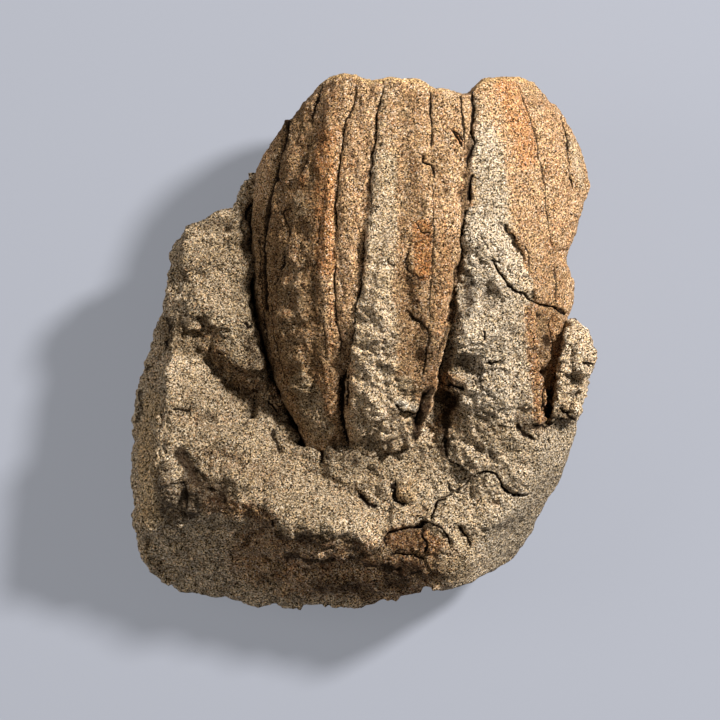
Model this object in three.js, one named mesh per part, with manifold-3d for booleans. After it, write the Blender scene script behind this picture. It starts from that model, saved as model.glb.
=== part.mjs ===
// A fossil fruit in its block of sandstone, lying on its back.
//
// Millimetres. +Z is up, out of the face that shows the fruit. +Y runs along the
// fruit's axis, from its buried tip to its broken end. The origin is under the
// middle of the block, on the flat face that it rests on.
//
// Two solids: "matrix", the sandstone block with the hollow that the fruit lies
// in, and "fruit", the ribbed cast that fills the hollow.

import * as THREE from "three";
import { mergeVertices } from "three/addons/utils/BufferGeometryUtils.js";
import Module from "manifold-3d";

const wasm = await Module();
wasm.setup();

// ---------------------------------------------------------------- dimensions

const SKY = 45; // a height above everything
const FIT_GAP = 0.3; // clearance between the two pieces
const FRONT_GRID = 1.5; // spacing of the points on the block's front
const BLANK = { width: 60, length: 68, foot: -2 }; // the block before its sides are cut
const LOWEST_FRONT = 3; // the front never falls below this height
// Random unevenness: its height, and the size of its bumps.
const UNEVEN = {
  fruit: { height: 0.15, size: 2.2 },
  front: { height: 0.3, size: 1.9 },
  fractures: { height: 0.5, size: 3 },
  sides: { height: 0.6, size: 4.5 }, // as a share of how far they stand inside the outline
};
const COLOURS = { matrix: 0xa58d68, fruit: 0xb07a4c };

// The fruit: a barrel whose axis runs along Y.
const AXIS_X = 7;
const AXIS_Z = 12;
const UNDERSIDE_DEPTH = 4.6; // how far the cast reaches below its axis
const FRUIT_SEGMENTS = 80;
const FRONT_CROWDING = 0.5; // draws the points round towards the front, where the ribs show
const FRUIT_RINGS = 27;
// Broken end to tip: the half widths either side of the axis, and the height of the
// crest above it.
const FRUIT_PROFILE = [
  { y: 34, left: 14.0, right: 11.4, crest: 14.4 },
  { y: 31, left: 15.3, right: 13.8, crest: 15.2 },
  { y: 28, left: 17.2, right: 16.8, crest: 16.0 },
  { y: 24, left: 19.2, right: 19.3, crest: 16.7 },
  { y: 20, left: 20.5, right: 20.4, crest: 17.1 },
  { y: 15, left: 20.9, right: 19.6, crest: 17.2 },
  { y: 10, left: 20.8, right: 18.6, crest: 17.0 },
  { y: 4, left: 20.3, right: 18.4, crest: 16.2 },
  { y: 0, left: 19.7, right: 18.0, crest: 15.2 },
  { y: -4, left: 18.8, right: 17.2, crest: 13.4 },
  { y: -8, left: 17.4, right: 15.8, crest: 11.2 },
  { y: -11, left: 15.6, right: 14.2, crest: 8.9 },
  { y: -13, left: 14.0, right: 12.6, crest: 6.2 },
  { y: -15.5, left: 11.0, right: 10.4, crest: 3.8 },
  { y: -17.5, left: 7.0, right: 7.0, crest: 2.0 },
  { y: -18.5, left: 0, right: 0, crest: 0 },
];

// Furrows between the ribs, left to right. "depth" is how deep one is, and "rise" the
// height of the rib to its right, each at the broken end and at the tip. "line" runs
// from the broken end to the tip as [x, y].
const FURROWS = [
  { depth: [0, 0], width: 1, rise: [0.2, 0.2], line: [[-16, 34], [-17, 20], [-18, 5], [-15, -12]] },
  {
    depth: [0.3, 0.4],
    width: 0.9,
    rise: [0.3, 0.3],
    line: [
      [-8.1, 26.4], [-9.7, 21.8], [-10.9, 17], [-11.6, 12], [-11.5, 6], [-10.9, 0.5], [-9, -6],
    ],
  },
  {
    depth: [0.2, 0.5],
    width: 0.9,
    rise: [0.3, 0.5],
    line: [
      [-4.6, 30.8], [-5.9, 26.6], [-7.4, 20], [-8.4, 12], [-9, 7], [-8.8, 0], [-7.6, -6], [-6, -12],
    ],
  },
  {
    depth: [0.2, 0.3],
    width: 1.0,
    rise: [0.5, 0.8],
    line: [[-4.2, 32], [-5.4, 24], [-6.2, 16], [-6.2, 8], [-5.4, 0], [-4.8, -6], [-4, -12]],
  },
  {
    depth: [0.15, 0.6],
    width: 0.9,
    rise: [0.15, 0.3],
    line: [[-0.6, 31], [-1.3, 27.3], [-2.4, 23.5], [-3, 18.5], [-3.2, 9], [-2.9, 1.5], [-2.6, -8]],
  },
  {
    depth: [0.2, 1.3],
    width: 1.0,
    rise: [0.4, 1.0],
    line: [[2.3, 31], [1.8, 26], [1, 19], [0.5, 13], [0, 7], [-1.1, 0], [-2.2, -5], [-1.7, -12]],
  },
  {
    depth: [0, 1.5],
    width: 1.5,
    rise: [0.15, 0.3],
    line: [[4.4, 31], [4.2, 18], [4.6, 8], [5.9, 3], [6.4, -3], [5.6, -9]],
  },
  {
    depth: [0.2, 0.4],
    width: 0.8,
    rise: [0.2, 0.4],
    line: [[8, 31], [8.2, 22], [8.3, 12], [8, 4], [7.4, -1], [6.6, -7]],
  },
  {
    depth: [0.4, 2.0],
    width: 1.1,
    rise: [0.4, 0.8],
    line: [[12.6, 31], [12.7, 26], [12.4, 19], [11.9, 12], [11, 6], [9.6, -1], [7.4, -8]],
  },
  {
    depth: [0.2, 0.3],
    width: 0.8,
    rise: [0.3, 0.5],
    line: [[17.8, 32], [19.5, 27], [20.6, 22], [21.7, 15], [22, 8], [22, -8]],
  },
  {
    depth: [0.3, 0.5],
    width: 0.8,
    rise: [0.2, 0.3],
    line: [[23, 30], [23.8, 26], [24.6, 20], [25, 12], [25, -8]],
  },
  { depth: [0, 0], width: 1, rise: [0, 0], line: [[30, 34], [30, -20]] },
];
const FURROW_SPAN = [31, -12]; // the y of the broken end and of the tip
const RIB_FULLNESS = 0.8; // under 1 a rib is flatter on top and steeper at its sides
// The break across the right lobe: below the line from left to right its rind has
// flaked away.
const LOBE_BREAK = { left: [18, 6.2], right: [25, 3], drop: 1.6, slope: 1.2 };

// The whole specimen's outline, seen from above, clockwise from the broken end.
const SPECIMEN_OUTLINE = [
  [-1.5, 32], [0.6, 31.1], [1.3, 30.8], [2.6, 31.2], [6.8, 31.1], [7.5, 30.4], [7.9, 29.9],
  [10.4, 29.9], [12.2, 29.2], [12.6, 28.7], [12.9, 29.7], [14.2, 31.2], [16, 31.5],
  [18.8, 31.5], [20.2, 31.1], [21.2, 30], [22.3, 28.7], [23.3, 28], [24.6, 25.9], [25.6, 24],
  [26.7, 20.8], [26.8, 18.2], [26, 17], [25.3, 13.4], [24.5, 11.6], [23.8, 10.2], [24.3, 9.1],
  [25, 7.8], [25.3, 6.2], [24.8, 4.4], [24.1, 3.1], [25.8, 2.7], [26.7, 1.5], [27.9, -0.8],
  [27.9, -1.6], [27.1, -3.2], [26.7, -4.1], [26.9, -4.9], [26.3, -6.4], [26, -8], [25.2, -8.7],
  [25.6, -9.8], [24.8, -12.3], [23.5, -16.3], [22.1, -18.2], [20.9, -20.6], [20.3, -22.3],
  [18.6, -24.9], [17.5, -25.9], [14.1, -27.5], [13.2, -28.2], [9.5, -29.1], [7.8, -28.4],
  [6.4, -28.8], [4.2, -30], [0.4, -31.1], [-1, -31.8], [-8, -32], [-17, -31.8], [-22.4, -30.8],
  [-25.2, -28.9], [-26.5, -25.8], [-26.9, -20], [-27.4, -16], [-27.9, -12], [-27.9, -8],
  [-27.5, -5.6], [-26.2, -4.1], [-25.8, -3.2], [-25.2, 0.2], [-24.7, 2.3], [-23.9, 2.9],
  [-23.2, 4.7], [-22.5, 8.4], [-21.8, 12], [-20.6, 13.6], [-18, 15], [-16.8, 15.9],
  [-15.1, 16.2], [-14.7, 16.9], [-14.4, 18.6], [-13.5, 20.1], [-13, 21.2], [-11.6, 22],
  [-10, 24.4], [-8.8, 26.2], [-8, 26.5], [-7.4, 27.6], [-6.4, 28.7], [-5.9, 29], [-4.9, 30.7],
  [-3.4, 31.6],
];
// How far the sides stand inside that outline at each height: round the block they
// are widest low down, and round the fruit they are widest up at the rind.
const SIDE_LEVELS = [
  { height: 0, block: 3.4, fruit: 6.5 },
  { height: 3, block: 1.4, fruit: 3.8 },
  { height: 8.5, block: 0, fruit: 1.6 },
  { height: 15, block: 0.15, fruit: 0 },
  { height: 22, block: 0.5, fruit: 0.1 },
  { height: SKY, block: 1.4, fruit: 1.4 },
];
const FRUIT_SIDES_FROM = [-4, 12]; // from the first y to the second, "block" turns to "fruit"

// Where the fruit shows, seen from above. Beyond the specimen's outline it runs free.
const FRUIT_OUTLINE = [
  [-9, 36], [32, 36], [32, -14], [21, -16.5], [9, -15], [6, -11.2], [4.4, -12.1], [2.8, -12.2],
  [1.2, -12.9], [-0.4, -12.5], [-1.7, -11.8], [-2.8, -12.4], [-4.6, -12.4], [-6.6, -12.3],
  [-7.1, -10.2], [-8.7, -7.2], [-9.8, -4.2],
  [-10.9, -1.6], [-11.6, 0.6], [-12.3, 4], [-12.5, 8], [-12.7, 14], [-12.8, 17], [-12.3, 20],
  [-11.9, 21.6], [-14, 25],
];
// The open gap down the fruit's left flank, wide enough to see into.
const FLANK_GAP = [
  [-12.7, 17.4], [-13.3, 14], [-13.2, 10], [-13.5, 6], [-12.9, 3.2], [-12.3, 0.4], [-11.8, -3],
  [-11.1, -4.8], [-10.0, -5.1], [-9.5, -7.6], [-8.8, -9.2], [-8.1, -10.4], [-7.2, -12.6],
  [-6.4, -12.2], [-5.5, -10], [-8, -4], [-10, 4], [-11, 14],
];
const FLANK_GAP_FLOOR = 12.5;
const OPEN_ABOVE = 13.5; // above this only the crust and the knob lie over the fruit
// Sandstone that still covers the fruit: a crust over its right side, and a knob.
const CRUST = {
  floor: 16,
  outline: [
    [12.4, 16.2], [13.3, 15.3], [14.8, 14.6], [16.2, 14], [17.2, 13], [18.4, 11.7], [19.1, 10],
    [18.9, 8.2], [19.5, 6.6], [19.8, 4.6], [19.9, 0], [20.4, -2.5], [20.9, -4.5], [21.5, -5.8],
    [21.2, -7.6], [20.8, -9.6], [22.5, -9.5], [32, -10], [32, -20], [5.5, -20], [6.4, -11.4],
    [7.2, -9.6], [8.3, -7], [9, -4.5], [9.3, -2.5], [9.8, -0.6], [10.5, 1.6], [10.9, 3.5],
    [11.2, 6], [11.7, 9], [12.2, 11.5], [12.1, 14.5],
  ],
};
const KNOB = {
  floor: 5,
  outline: [
    [24.5, 2.9], [24.1, 1.6], [23.6, -0.5], [23.2, -3], [22.8, -6], [22.4, -9.4], [24, -9.6],
    [32, -10], [32, 2.5], [26, 3.6],
  ],
};

// The block's front: spot heights [x, y, z] joined by a smooth surface.
const SHOULDER = [
  [-21, 12, 20.2], [-21, 6.4, 20.8], [-17, 12, 18.6], [-17, 7, 18.8], [-14, 12, 17.2],
  [-13.6, 7, 17.4], [-18, 14.6, 18.4], [-15.4, 15.6, 17.0], [-14, 18.6, 15.2], [-13, 21, 13.4],
  [-20.8, 4, 20.9], [-18.6, 3.2, 20.5], [-16.4, 2, 20.0], [-15, -0.4, 19.4], [-13.6, -2.8, 18.6],
];
const SCALLOP = [
  [-21.4, 1.8, 19.5], [-20.4, 0, 17.6], [-19, -1.6, 16.8], [-17.2, -3.4, 16.0],
  [-15.8, -4.8, 15.4], [-13.6, -5.9, 15.2], [-11.2, -6.8, 15.4],
];
const LOWER_SLOPE = [
  [-23, -1.2, 20.8], [-21.4, -3.4, 19.9], [-19.2, -5.6, 18.9], [-16.8, -7.4, 18.2],
  [-21.5, -9, 21.0], [-18, -10, 19.6], [-14.4, -9.6, 18.4],
  [-12, -10.6, 18.2], [-9.4, -12.8, 17.4], [-24, -13, 23], [-16, -13.6, 21.1],
  [-12, -15.4, 20.0], [-8, -16.4, 18.9], [-4, -16, 18.2], [0, -15.6, 17.9], [-14, -18.4, 21.2],
  [-9.5, -19.6, 20.7], [-5, -20.8, 20.2], [-1, -21.8, 19.8], [2.4, -23.4, 19.5],
  [-20.4, -14.2, 20.9], [-19.2, -17, 20.2], [-21.6, -17.4, 22.4], [-23.6, -20, 22.2],
  [-24, -26, 20], [-18, -23, 20.4], [-13, -24, 19],
];
const TOE = [
  [4, -13.6, 18.3], [0, -13.8, 18.4], [-4, -13.8, 18.3], [7.4, -12.6, 18.0], [9.8, -9.4, 19.2],
  [10.2, -5.8, 21.6], [9.6, -12.6, 18.6], [12, -13, 20.0], [13.6, -10, 21.2], [14.4, -14.4, 20.4],
  [12.6, -16.6, 19.0], [15.2, -16.8, 19.8], [16.8, -12, 20.7], [19.6, -12.4, 19.8], [18, -17, 19.2],
  [12, -20.4, 19.8], [8.6, -18, 18.7], [4.8, -18.8, 18.2], [9.4, -24.4, 18.4],
  [5.6, -24.2, 17.4], [13, -24, 18.6], [15, -21, 19.2],
];
const CRUST_TOP = [
  [12.8, 15.2, 28.6], [16.5, 12.6, 27.3], [18.6, 9.4, 25.8], [13, 10, 28.5], [15.2, 9, 27.7],
  [17.2, 7.4, 26.6], [12.9, 6, 28.1], [15, 5.4, 27.2], [17.4, 4.6, 26.2], [19.2, 3, 24.4],
  [11.8, 2.8, 27.5], [13.6, 2.6, 27.5], [16.2, 1.8, 26.4], [18.6, -0.2, 24.4],
  [20, -1.6, 22.8], [11, 0.2, 26.4], [12.6, -0.8, 26.2], [14.2, -1.6, 26.1], [11.6, -3.6, 23.9],
  [13.2, -4.4, 24.3], [15.2, -3.6, 25.0], [17.6, -3.2, 23.9], [19.6, -5, 21.8],
  [15.2, -7, 23.0], [17.8, -7.4, 21.8], [20, -9, 19.8],
];
const KNOB_TOP = [
  [24.4, 1.6, 21.6], [23.7, -1.5, 21.5], [23.1, -5, 20.6], [22.8, -8.6, 19.4],
  [25.4, 1, 21.6], [27.2, -0.8, 20.0], [25.2, -1.8, 21.2], [26.2, -3.4, 20.8], [24.6, -4.8, 19.6],
  [25.8, -6, 19.4], [24.6, -8, 18.8],
];
const UNDER_FRUIT = [
  [24, 20, 14.5], [24, 28, 14], [27, 7, 14.5], [27, 14, 14.5], [14, 32, 14], [-2, 32, 14],
  [-10, 26, 13], [4, 18, 14.5], [4, 0, 14.5], [-6, 10, 14.5], [20, 14, 14.5],
];
// Round lumps, and pits where the height is negative.
const LUMPS = [
  { name: "nodule", x: 5.2, y: -17.3, radius: 1.5, height: 1.6 },
  { name: "boss under the tip", x: -2.8, y: -13.2, radius: 1.6, height: 0.7 },
  { name: "boss on the knob", x: 26, y: -3, radius: 1.3, height: 0.7 },
  { name: "boss beside the knob's crack", x: 26, y: 0.6, radius: 1.6, height: 0.5 },
  { name: "reddish fragment", x: 7, y: -23.6, radius: 2.8, height: 0.9 },
  { name: "shoulder above the scallop", x: -18.6, y: 5.2, radius: 2.2, height: 0.5 },
  { name: "rim beside the gap", x: -14.6, y: 8, radius: 2, height: 0.4 },
  { name: "hollow in the shoulder", x: -17.8, y: 0.4, radius: 1.4, height: -0.7 },
  { name: "pit at the rim", x: -14.8, y: -5.4, radius: 1.3, height: -0.6 },
  { name: "chipped edge of the shoulder", x: -22.4, y: 7, radius: 2, height: -4 },
  { name: "recess at the top left", x: -16.8, y: 14.2, radius: 1.5, height: -1.0 },
  { name: "stained groove", x: -20.2, y: -15, radius: 1.9, height: -1.1 },
  { name: "upper pit in the valley", x: 12.4, y: -2.7, radius: 1.4, height: -1.4 },
  { name: "shelf between the pits", x: 10.8, y: -4.3, radius: 1.2, height: 0.7 },
  { name: "lower pit in the valley", x: 10.4, y: -7.2, radius: 1.7, height: -2.2 },
  { name: "pit in the crust", x: 14.8, y: 5.3, radius: 1.2, height: -0.9 },
  { name: "hollow under the toe", x: 11.2, y: -17.6, radius: 1.8, height: -0.7 },
  { name: "left hollow of the underside", x: -2, y: -26.6, radius: 2.2, height: -1.2 },
  { name: "right hollow of the underside", x: 2.4, y: -26.4, radius: 1.7, height: -0.9 },
];
// Flat fracture faces that cut the front off towards the sides. "outward" is the
// direction a face looks in, "edge" how far out that way it starts, "top" its height
// there, and "fall" how much it drops for each millimetre outwards.
const FRACTURE_FACES = {
  left: { outward: [-0.99, 0.144], edge: 22.4, top: 20.6, fall: 4.0 },
  lowerLeft: { outward: [-0.8, -0.6], edge: 31.5, top: 20.5, fall: 1.7 },
  lowestLeft: { outward: [-1, 0.03], edge: 23.3, top: 22.3, fall: 3.6 },
  underside: { outward: [-0.24, -0.971], edge: 22.7, top: 19.7, fall: 1.4 },
  lowerRight: { outward: [0.75, -0.66], edge: 25.7, top: 19.0, fall: 2.2 },
  right: { outward: [0.98, -0.2], edge: 22.6, top: 19.4, fall: 1.1 },
};
const RIGHT_FACE_STARTS = -9.3; // the y of the ledge above the right face

// ------------------------------------------------------------------- helpers

/** Smooth random bumps, the same on every run. */
function bumps(x, y, { height, size }) {
  const [u, v] = [x / size, y / size];
  return (
    (height *
      (Math.sin(1.7 * u + 2.3 * Math.sin(0.9 * v + 1.1)) +
        Math.sin(2.1 * v - 1.9 * Math.sin(1.3 * u - 0.4)) +
        Math.sin(1.3 * (u + v) + 1.4 * Math.sin(1.9 * (u - v))))) / 3
  );
}

/** The value at "at" on a line of [at, value] pairs in falling or rising order. */
function along(pairs, at) {
  const rising = pairs[pairs.length - 1][0] > pairs[0][0];
  for (let i = 1; i < pairs.length; i++) {
    const [[a, from], [b, to]] = [pairs[i - 1], pairs[i]];
    if (rising ? at <= b : at >= b) {
      const share = THREE.MathUtils.clamp((at - a) / (b - a), 0, 1);
      return from + (to - from) * share;
    }
  }
  return pairs[pairs.length - 1][1];
}

/** A closed three.js geometry as a solid that can be joined and cut. */
function solidOf(geometry) {
  const bare = geometry.clone();
  bare.deleteAttribute("normal");
  bare.deleteAttribute("uv");
  const merged = mergeVertices(bare, 1e-4);
  return new wasm.Manifold(
    new wasm.Mesh({
      numProp: 3,
      vertProperties: merged.attributes.position.array,
      triVerts: new Uint32Array(merged.index.array),
    }),
  );
}

function geometryOf(solid) {
  const mesh = solid.getMesh();
  const geometry = new THREE.BufferGeometry();
  geometry.setAttribute("position", new THREE.BufferAttribute(mesh.vertProperties, 3));
  geometry.setIndex(new THREE.BufferAttribute(mesh.triVerts, 1));
  geometry.computeVertexNormals();
  return geometry;
}

/** An outline moved outwards by a distance, corner by corner. */
function grown(outline, distance) {
  const turn = THREE.ShapeUtils.area(outline.map(([x, y]) => new THREE.Vector2(x, y)));
  const side = Math.sign(turn) * distance;
  const count = outline.length;
  return outline.map(([x, y], i) => {
    const [ax, ay] = outline[(i + count - 1) % count];
    const [bx, by] = outline[(i + 1) % count];
    const length = Math.hypot(bx - ax, by - ay);
    return [x + (side * (by - ay)) / length, y - (side * (bx - ax)) / length];
  });
}

/** An outline as an upright solid between two heights. */
function upright(outline, floor, top) {
  const shape = new THREE.Shape(outline.map(([x, y]) => new THREE.Vector2(x, y)));
  const geometry = new THREE.ExtrudeGeometry(shape, { depth: top - floor, bevelEnabled: false });
  return solidOf(geometry.translate(0, 0, floor));
}

/** The smooth surface through a list of spot heights: a thin plate bent over them. */
function plateThrough(spots) {
  const count = spots.length;
  const bend = (ax, ay, bx, by) => {
    const square = (ax - bx) ** 2 + (ay - by) ** 2;
    return square ? 0.5 * square * Math.log(square) : 0;
  };
  const rows = spots.map(([x, y, z]) => [
    ...spots.map(([bx, by]) => bend(x, y, bx, by)), 1, x, y, z,
  ]);
  for (const term of [() => 1, ([x]) => x, ([, y]) => y]) {
    rows.push([...spots.map(term), 0, 0, 0, 0]);
  }
  const size = count + 3;
  for (let column = 0; column < size; column++) {
    let pivot = column;
    for (let row = column + 1; row < size; row++) {
      if (Math.abs(rows[row][column]) > Math.abs(rows[pivot][column])) pivot = row;
    }
    [rows[column], rows[pivot]] = [rows[pivot], rows[column]];
    for (let row = 0; row < size; row++) {
      if (row === column) continue;
      const factor = rows[row][column] / rows[column][column];
      for (let k = column; k <= size; k++) rows[row][k] -= factor * rows[column][k];
    }
  }
  const weights = rows.map((row, i) => row[size] / row[i]);
  return (x, y) =>
    spots.reduce((sum, [bx, by], i) => sum + weights[i] * bend(x, y, bx, by), 0) +
    weights[count] + weights[count + 1] * x + weights[count + 2] * y;
}

// --------------------------------------------------------------------- fruit

/** How much rind has flaked off the right lobe at a point. */
function flaking(x, y) {
  const { left, right, drop, slope } = LOBE_BREAK;
  if (x < left[0]) return 0;
  const breakY = THREE.MathUtils.mapLinear(x, left[0], right[0], left[1], right[1]);
  return drop * THREE.MathUtils.smoothstep(breakY - y, 0, slope);
}

/** How far the cast stands out at a point of its front: ribs, and the furrows between. */
function ribbing(x, y) {
  const at = FURROWS.map(({ line }) => along(line.map(([lineX, lineY]) => [lineY, lineX]), y));
  const right = at.findIndex((furrowX) => x <= furrowX);
  if (right < 1) return 0;
  const left = right - 1;
  const share = (x - at[left]) / (at[right] - at[left]);
  const here = (ends) =>
    THREE.MathUtils.lerp(...ends, THREE.MathUtils.inverseLerp(...FURROW_SPAN, y));
  const furrowAt = (i) =>
    here(FURROWS[i].depth) * Math.max(0, 1 - Math.abs(x - at[i]) / FURROWS[i].width);
  const rib = here(FURROWS[left].rise) * Math.sin(Math.PI * share) ** RIB_FULLNESS;
  return rib - Math.max(furrowAt(left), furrowAt(right)) - flaking(x, y);
}

/** The whole cast before it was broken and cut back, everywhere "extra" thicker. */
function barrel(extra) {
  const first = FRUIT_PROFILE[0].y;
  const last = FRUIT_PROFILE[FRUIT_PROFILE.length - 1].y - extra;
  const profile = [new THREE.Vector2(0, last)];
  for (let ring = 1; ring <= FRUIT_RINGS; ring++) {
    profile.push(new THREE.Vector2(1, last + ((first - last) * ring) / FRUIT_RINGS));
  }
  profile.push(new THREE.Vector2(0, first));
  const geometry = new THREE.LatheGeometry(profile, FRUIT_SEGMENTS);
  const position = geometry.attributes.position;
  const sizeAt = (name, y) => along(FRUIT_PROFILE.map((ring) => [ring.y, ring[name]]), y);
  for (let i = 0; i < position.count; i++) {
    const y = position.getY(i);
    const radius = Math.hypot(position.getX(i), position.getZ(i));
    const around = Math.atan2(position.getX(i), position.getZ(i));
    const angle = around - FRONT_CROWDING * Math.sin(around);
    const across = radius * Math.sin(angle);
    const up = radius * Math.cos(angle);
    const crest = sizeAt("crest", y);
    const x = AXIS_X + across * (sizeAt(across < 0 ? "left" : "right", y) + extra);
    const height = (up > 0 ? crest : Math.min(UNDERSIDE_DEPTH, crest)) + extra;
    const relief = up > 0 ? up * (ribbing(x, y) + bumps(x, y, UNEVEN.fruit)) : 0;
    position.setXYZ(i, x + relief * across, y, AXIS_Z + height * up + relief);
  }
  return solidOf(geometry);
}

// -------------------------------------------------------------------- matrix

/** A block under a surface, its foot below the ground. */
function blockUnder(surface) {
  const { width, length, foot } = BLANK;
  const geometry = new THREE.BoxGeometry(
    width, length, 1, Math.round(width / FRONT_GRID), Math.round(length / FRONT_GRID), 1,
  );
  const position = geometry.attributes.position;
  for (let i = 0; i < position.count; i++) {
    const [x, y, z] = [position.getX(i), position.getY(i), position.getZ(i)];
    position.setZ(i, z > 0 ? surface(x, y) : foot);
  }
  return solidOf(geometry);
}

/** The height of the block's front, with its fracture faces. */
function frontSurface() {
  const plate = plateThrough([
    ...SHOULDER, ...SCALLOP, ...LOWER_SLOPE, ...TOE, ...CRUST_TOP, ...KNOB_TOP, ...UNDER_FRUIT,
  ]);
  return (x, y) => {
    let height = plate(x, y) + bumps(x, y, UNEVEN.front);
    for (const lump of LUMPS) {
      const away = Math.hypot(x - lump.x, y - lump.y) / lump.radius;
      height += lump.height * Math.exp(-(away ** 2));
    }
    for (const [name, { outward, edge, top, fall }] of Object.entries(FRACTURE_FACES)) {
      if (name === "right" && y > RIGHT_FACE_STARTS) continue;
      const beyond = outward[0] * x + outward[1] * y - edge;
      height = Math.min(height, top - fall * beyond + bumps(y, x, UNEVEN.fractures));
    }
    return Math.max(height, LOWEST_FRONT);
  };
}

/** The space inside the specimen's sides. */
function withinSides() {
  const levels = SIDE_LEVELS.length - 1;
  const shape = new THREE.Shape(SPECIMEN_OUTLINE.map(([x, y]) => new THREE.Vector2(x, y)));
  const geometry = new THREE.ExtrudeGeometry(shape, {
    depth: levels, steps: levels, bevelEnabled: false,
  });
  const position = geometry.attributes.position;
  for (let i = 0; i < position.count; i++) {
    const [x, y] = [position.getX(i), position.getY(i)];
    const { height, block, fruit } = SIDE_LEVELS[Math.round(position.getZ(i))];
    const fruitShare = THREE.MathUtils.smoothstep(y, ...FRUIT_SIDES_FROM);
    const inset = THREE.MathUtils.lerp(block, fruit, fruitShare);
    const uneven = 1 + bumps(x + height, y - height, UNEVEN.sides);
    const keep = 1 - (inset * uneven) / Math.hypot(x, y);
    position.setXYZ(i, x * keep, y * keep, height);
  }
  return solidOf(geometry);
}

// ------------------------------------------------------------------ assembly

const sides = withinSides();
const crustHole = upright(grown(CRUST.outline, FIT_GAP), CRUST.floor, SKY);
const knobHole = upright(grown(KNOB.outline, FIT_GAP), KNOB.floor - FIT_GAP, SKY);
const fruitSolid = barrel(0)
  .intersect(upright(FRUIT_OUTLINE, 0, SKY))
  .intersect(sides)
  .subtract(crustHole)
  .subtract(knobHole);

const openAbove = upright(grown(FRUIT_OUTLINE, FIT_GAP), OPEN_ABOVE, SKY)
  .subtract(upright(CRUST.outline, 0, SKY))
  .subtract(upright(KNOB.outline, 0, SKY));
const hollow = barrel(FIT_GAP)
  .intersect(upright(grown(FRUIT_OUTLINE, FIT_GAP), 0, SKY))
  .subtract(upright(CRUST.outline, CRUST.floor + FIT_GAP, SKY))
  .subtract(upright(KNOB.outline, KNOB.floor, SKY))
  .add(openAbove);
const matrixSolid = blockUnder(frontSurface())
  .intersect(sides)
  .subtract(hollow)
  .subtract(upright(FLANK_GAP, FLANK_GAP_FLOOR, SKY));

function stone(name, solid, colour, roughness) {
  const material = new THREE.MeshStandardMaterial({ color: colour, roughness, metalness: 0 });
  const mesh = new THREE.Mesh(geometryOf(solid), material);
  mesh.name = name;
  return mesh;
}

const specimen = new THREE.Group();
specimen.add(stone("matrix", matrixSolid, COLOURS.matrix, 0.95));
specimen.add(stone("fruit", fruitSolid, COLOURS.fruit, 0.9));

const reach = new THREE.Box3().setFromObject(specimen);
const middle = reach.getCenter(new THREE.Vector3());
specimen.position.set(-middle.x, -middle.y, -reach.min.z);

export default specimen;
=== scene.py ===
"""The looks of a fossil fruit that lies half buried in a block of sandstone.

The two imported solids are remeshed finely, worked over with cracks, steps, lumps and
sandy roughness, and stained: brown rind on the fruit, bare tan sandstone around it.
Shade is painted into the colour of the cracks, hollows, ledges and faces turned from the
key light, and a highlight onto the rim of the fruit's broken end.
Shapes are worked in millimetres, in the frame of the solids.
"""

import bpy
import numpy as np
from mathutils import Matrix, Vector


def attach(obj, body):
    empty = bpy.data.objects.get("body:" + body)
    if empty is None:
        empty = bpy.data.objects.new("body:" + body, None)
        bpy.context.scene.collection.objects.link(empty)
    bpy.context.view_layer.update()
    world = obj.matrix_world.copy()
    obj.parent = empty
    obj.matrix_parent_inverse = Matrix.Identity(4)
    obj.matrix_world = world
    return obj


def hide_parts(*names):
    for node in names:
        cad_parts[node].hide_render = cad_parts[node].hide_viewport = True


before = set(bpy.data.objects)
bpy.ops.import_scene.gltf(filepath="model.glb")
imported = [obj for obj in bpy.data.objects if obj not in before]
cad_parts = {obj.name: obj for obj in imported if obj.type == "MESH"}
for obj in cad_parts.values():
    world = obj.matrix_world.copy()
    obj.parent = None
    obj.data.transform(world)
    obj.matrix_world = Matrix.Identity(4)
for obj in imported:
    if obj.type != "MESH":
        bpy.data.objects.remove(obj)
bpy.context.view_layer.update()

MM = 0.001  # one millimetre in Blender's metres
SEED = 11

# ------------------------------------------------------------------ the stones' sizes

VOXEL = {"matrix": 0.47, "fruit": 0.46}  # how fine the solids are remeshed
# what is left of the triangles once those out of sight are thinned out
THINNING = {"matrix": 0.62, "fruit": 0.74}
THINNED_EDGE = 1.1  # where a point's edges are longer than this, the skin was thinned out
FACET_SMOOTHING = {"matrix": 3, "fruit": 4}  # rounds that take the solids' facets away
SWELL = 0.16  # each stone is grown by this, which closes the fit gap between them
BURIED_BELOW = 14.0  # under this height the fruit's hollow is out of sight
RIM_LIFT = 0.4  # about how far parts of the block's rim are raised, to meet the fruit
FINER_WITHIN = 0.4  # how close to a crack the skin is split once more
CRACK_REACH = 0.5  # how far from a crack its line is still traced
FAR_ACROSS = 12.0  # in half widths of a crack: well outside it
END_TAPER = 0.12  # the share of a crack's or a step's line over which its end fades
GRAINS_PER_MM = 8.2

# ------------------------------------------------------------------ what shows on the fruit
# All marks are drawn from above. The points of their lines are X and Y in millimetres.

RIGHT_OF_CRUST = [(18.8, 11.8), (19.4, 10.6), (19.5, 8.6), (19.6, 6.5), (19.4, 5.3)]

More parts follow.
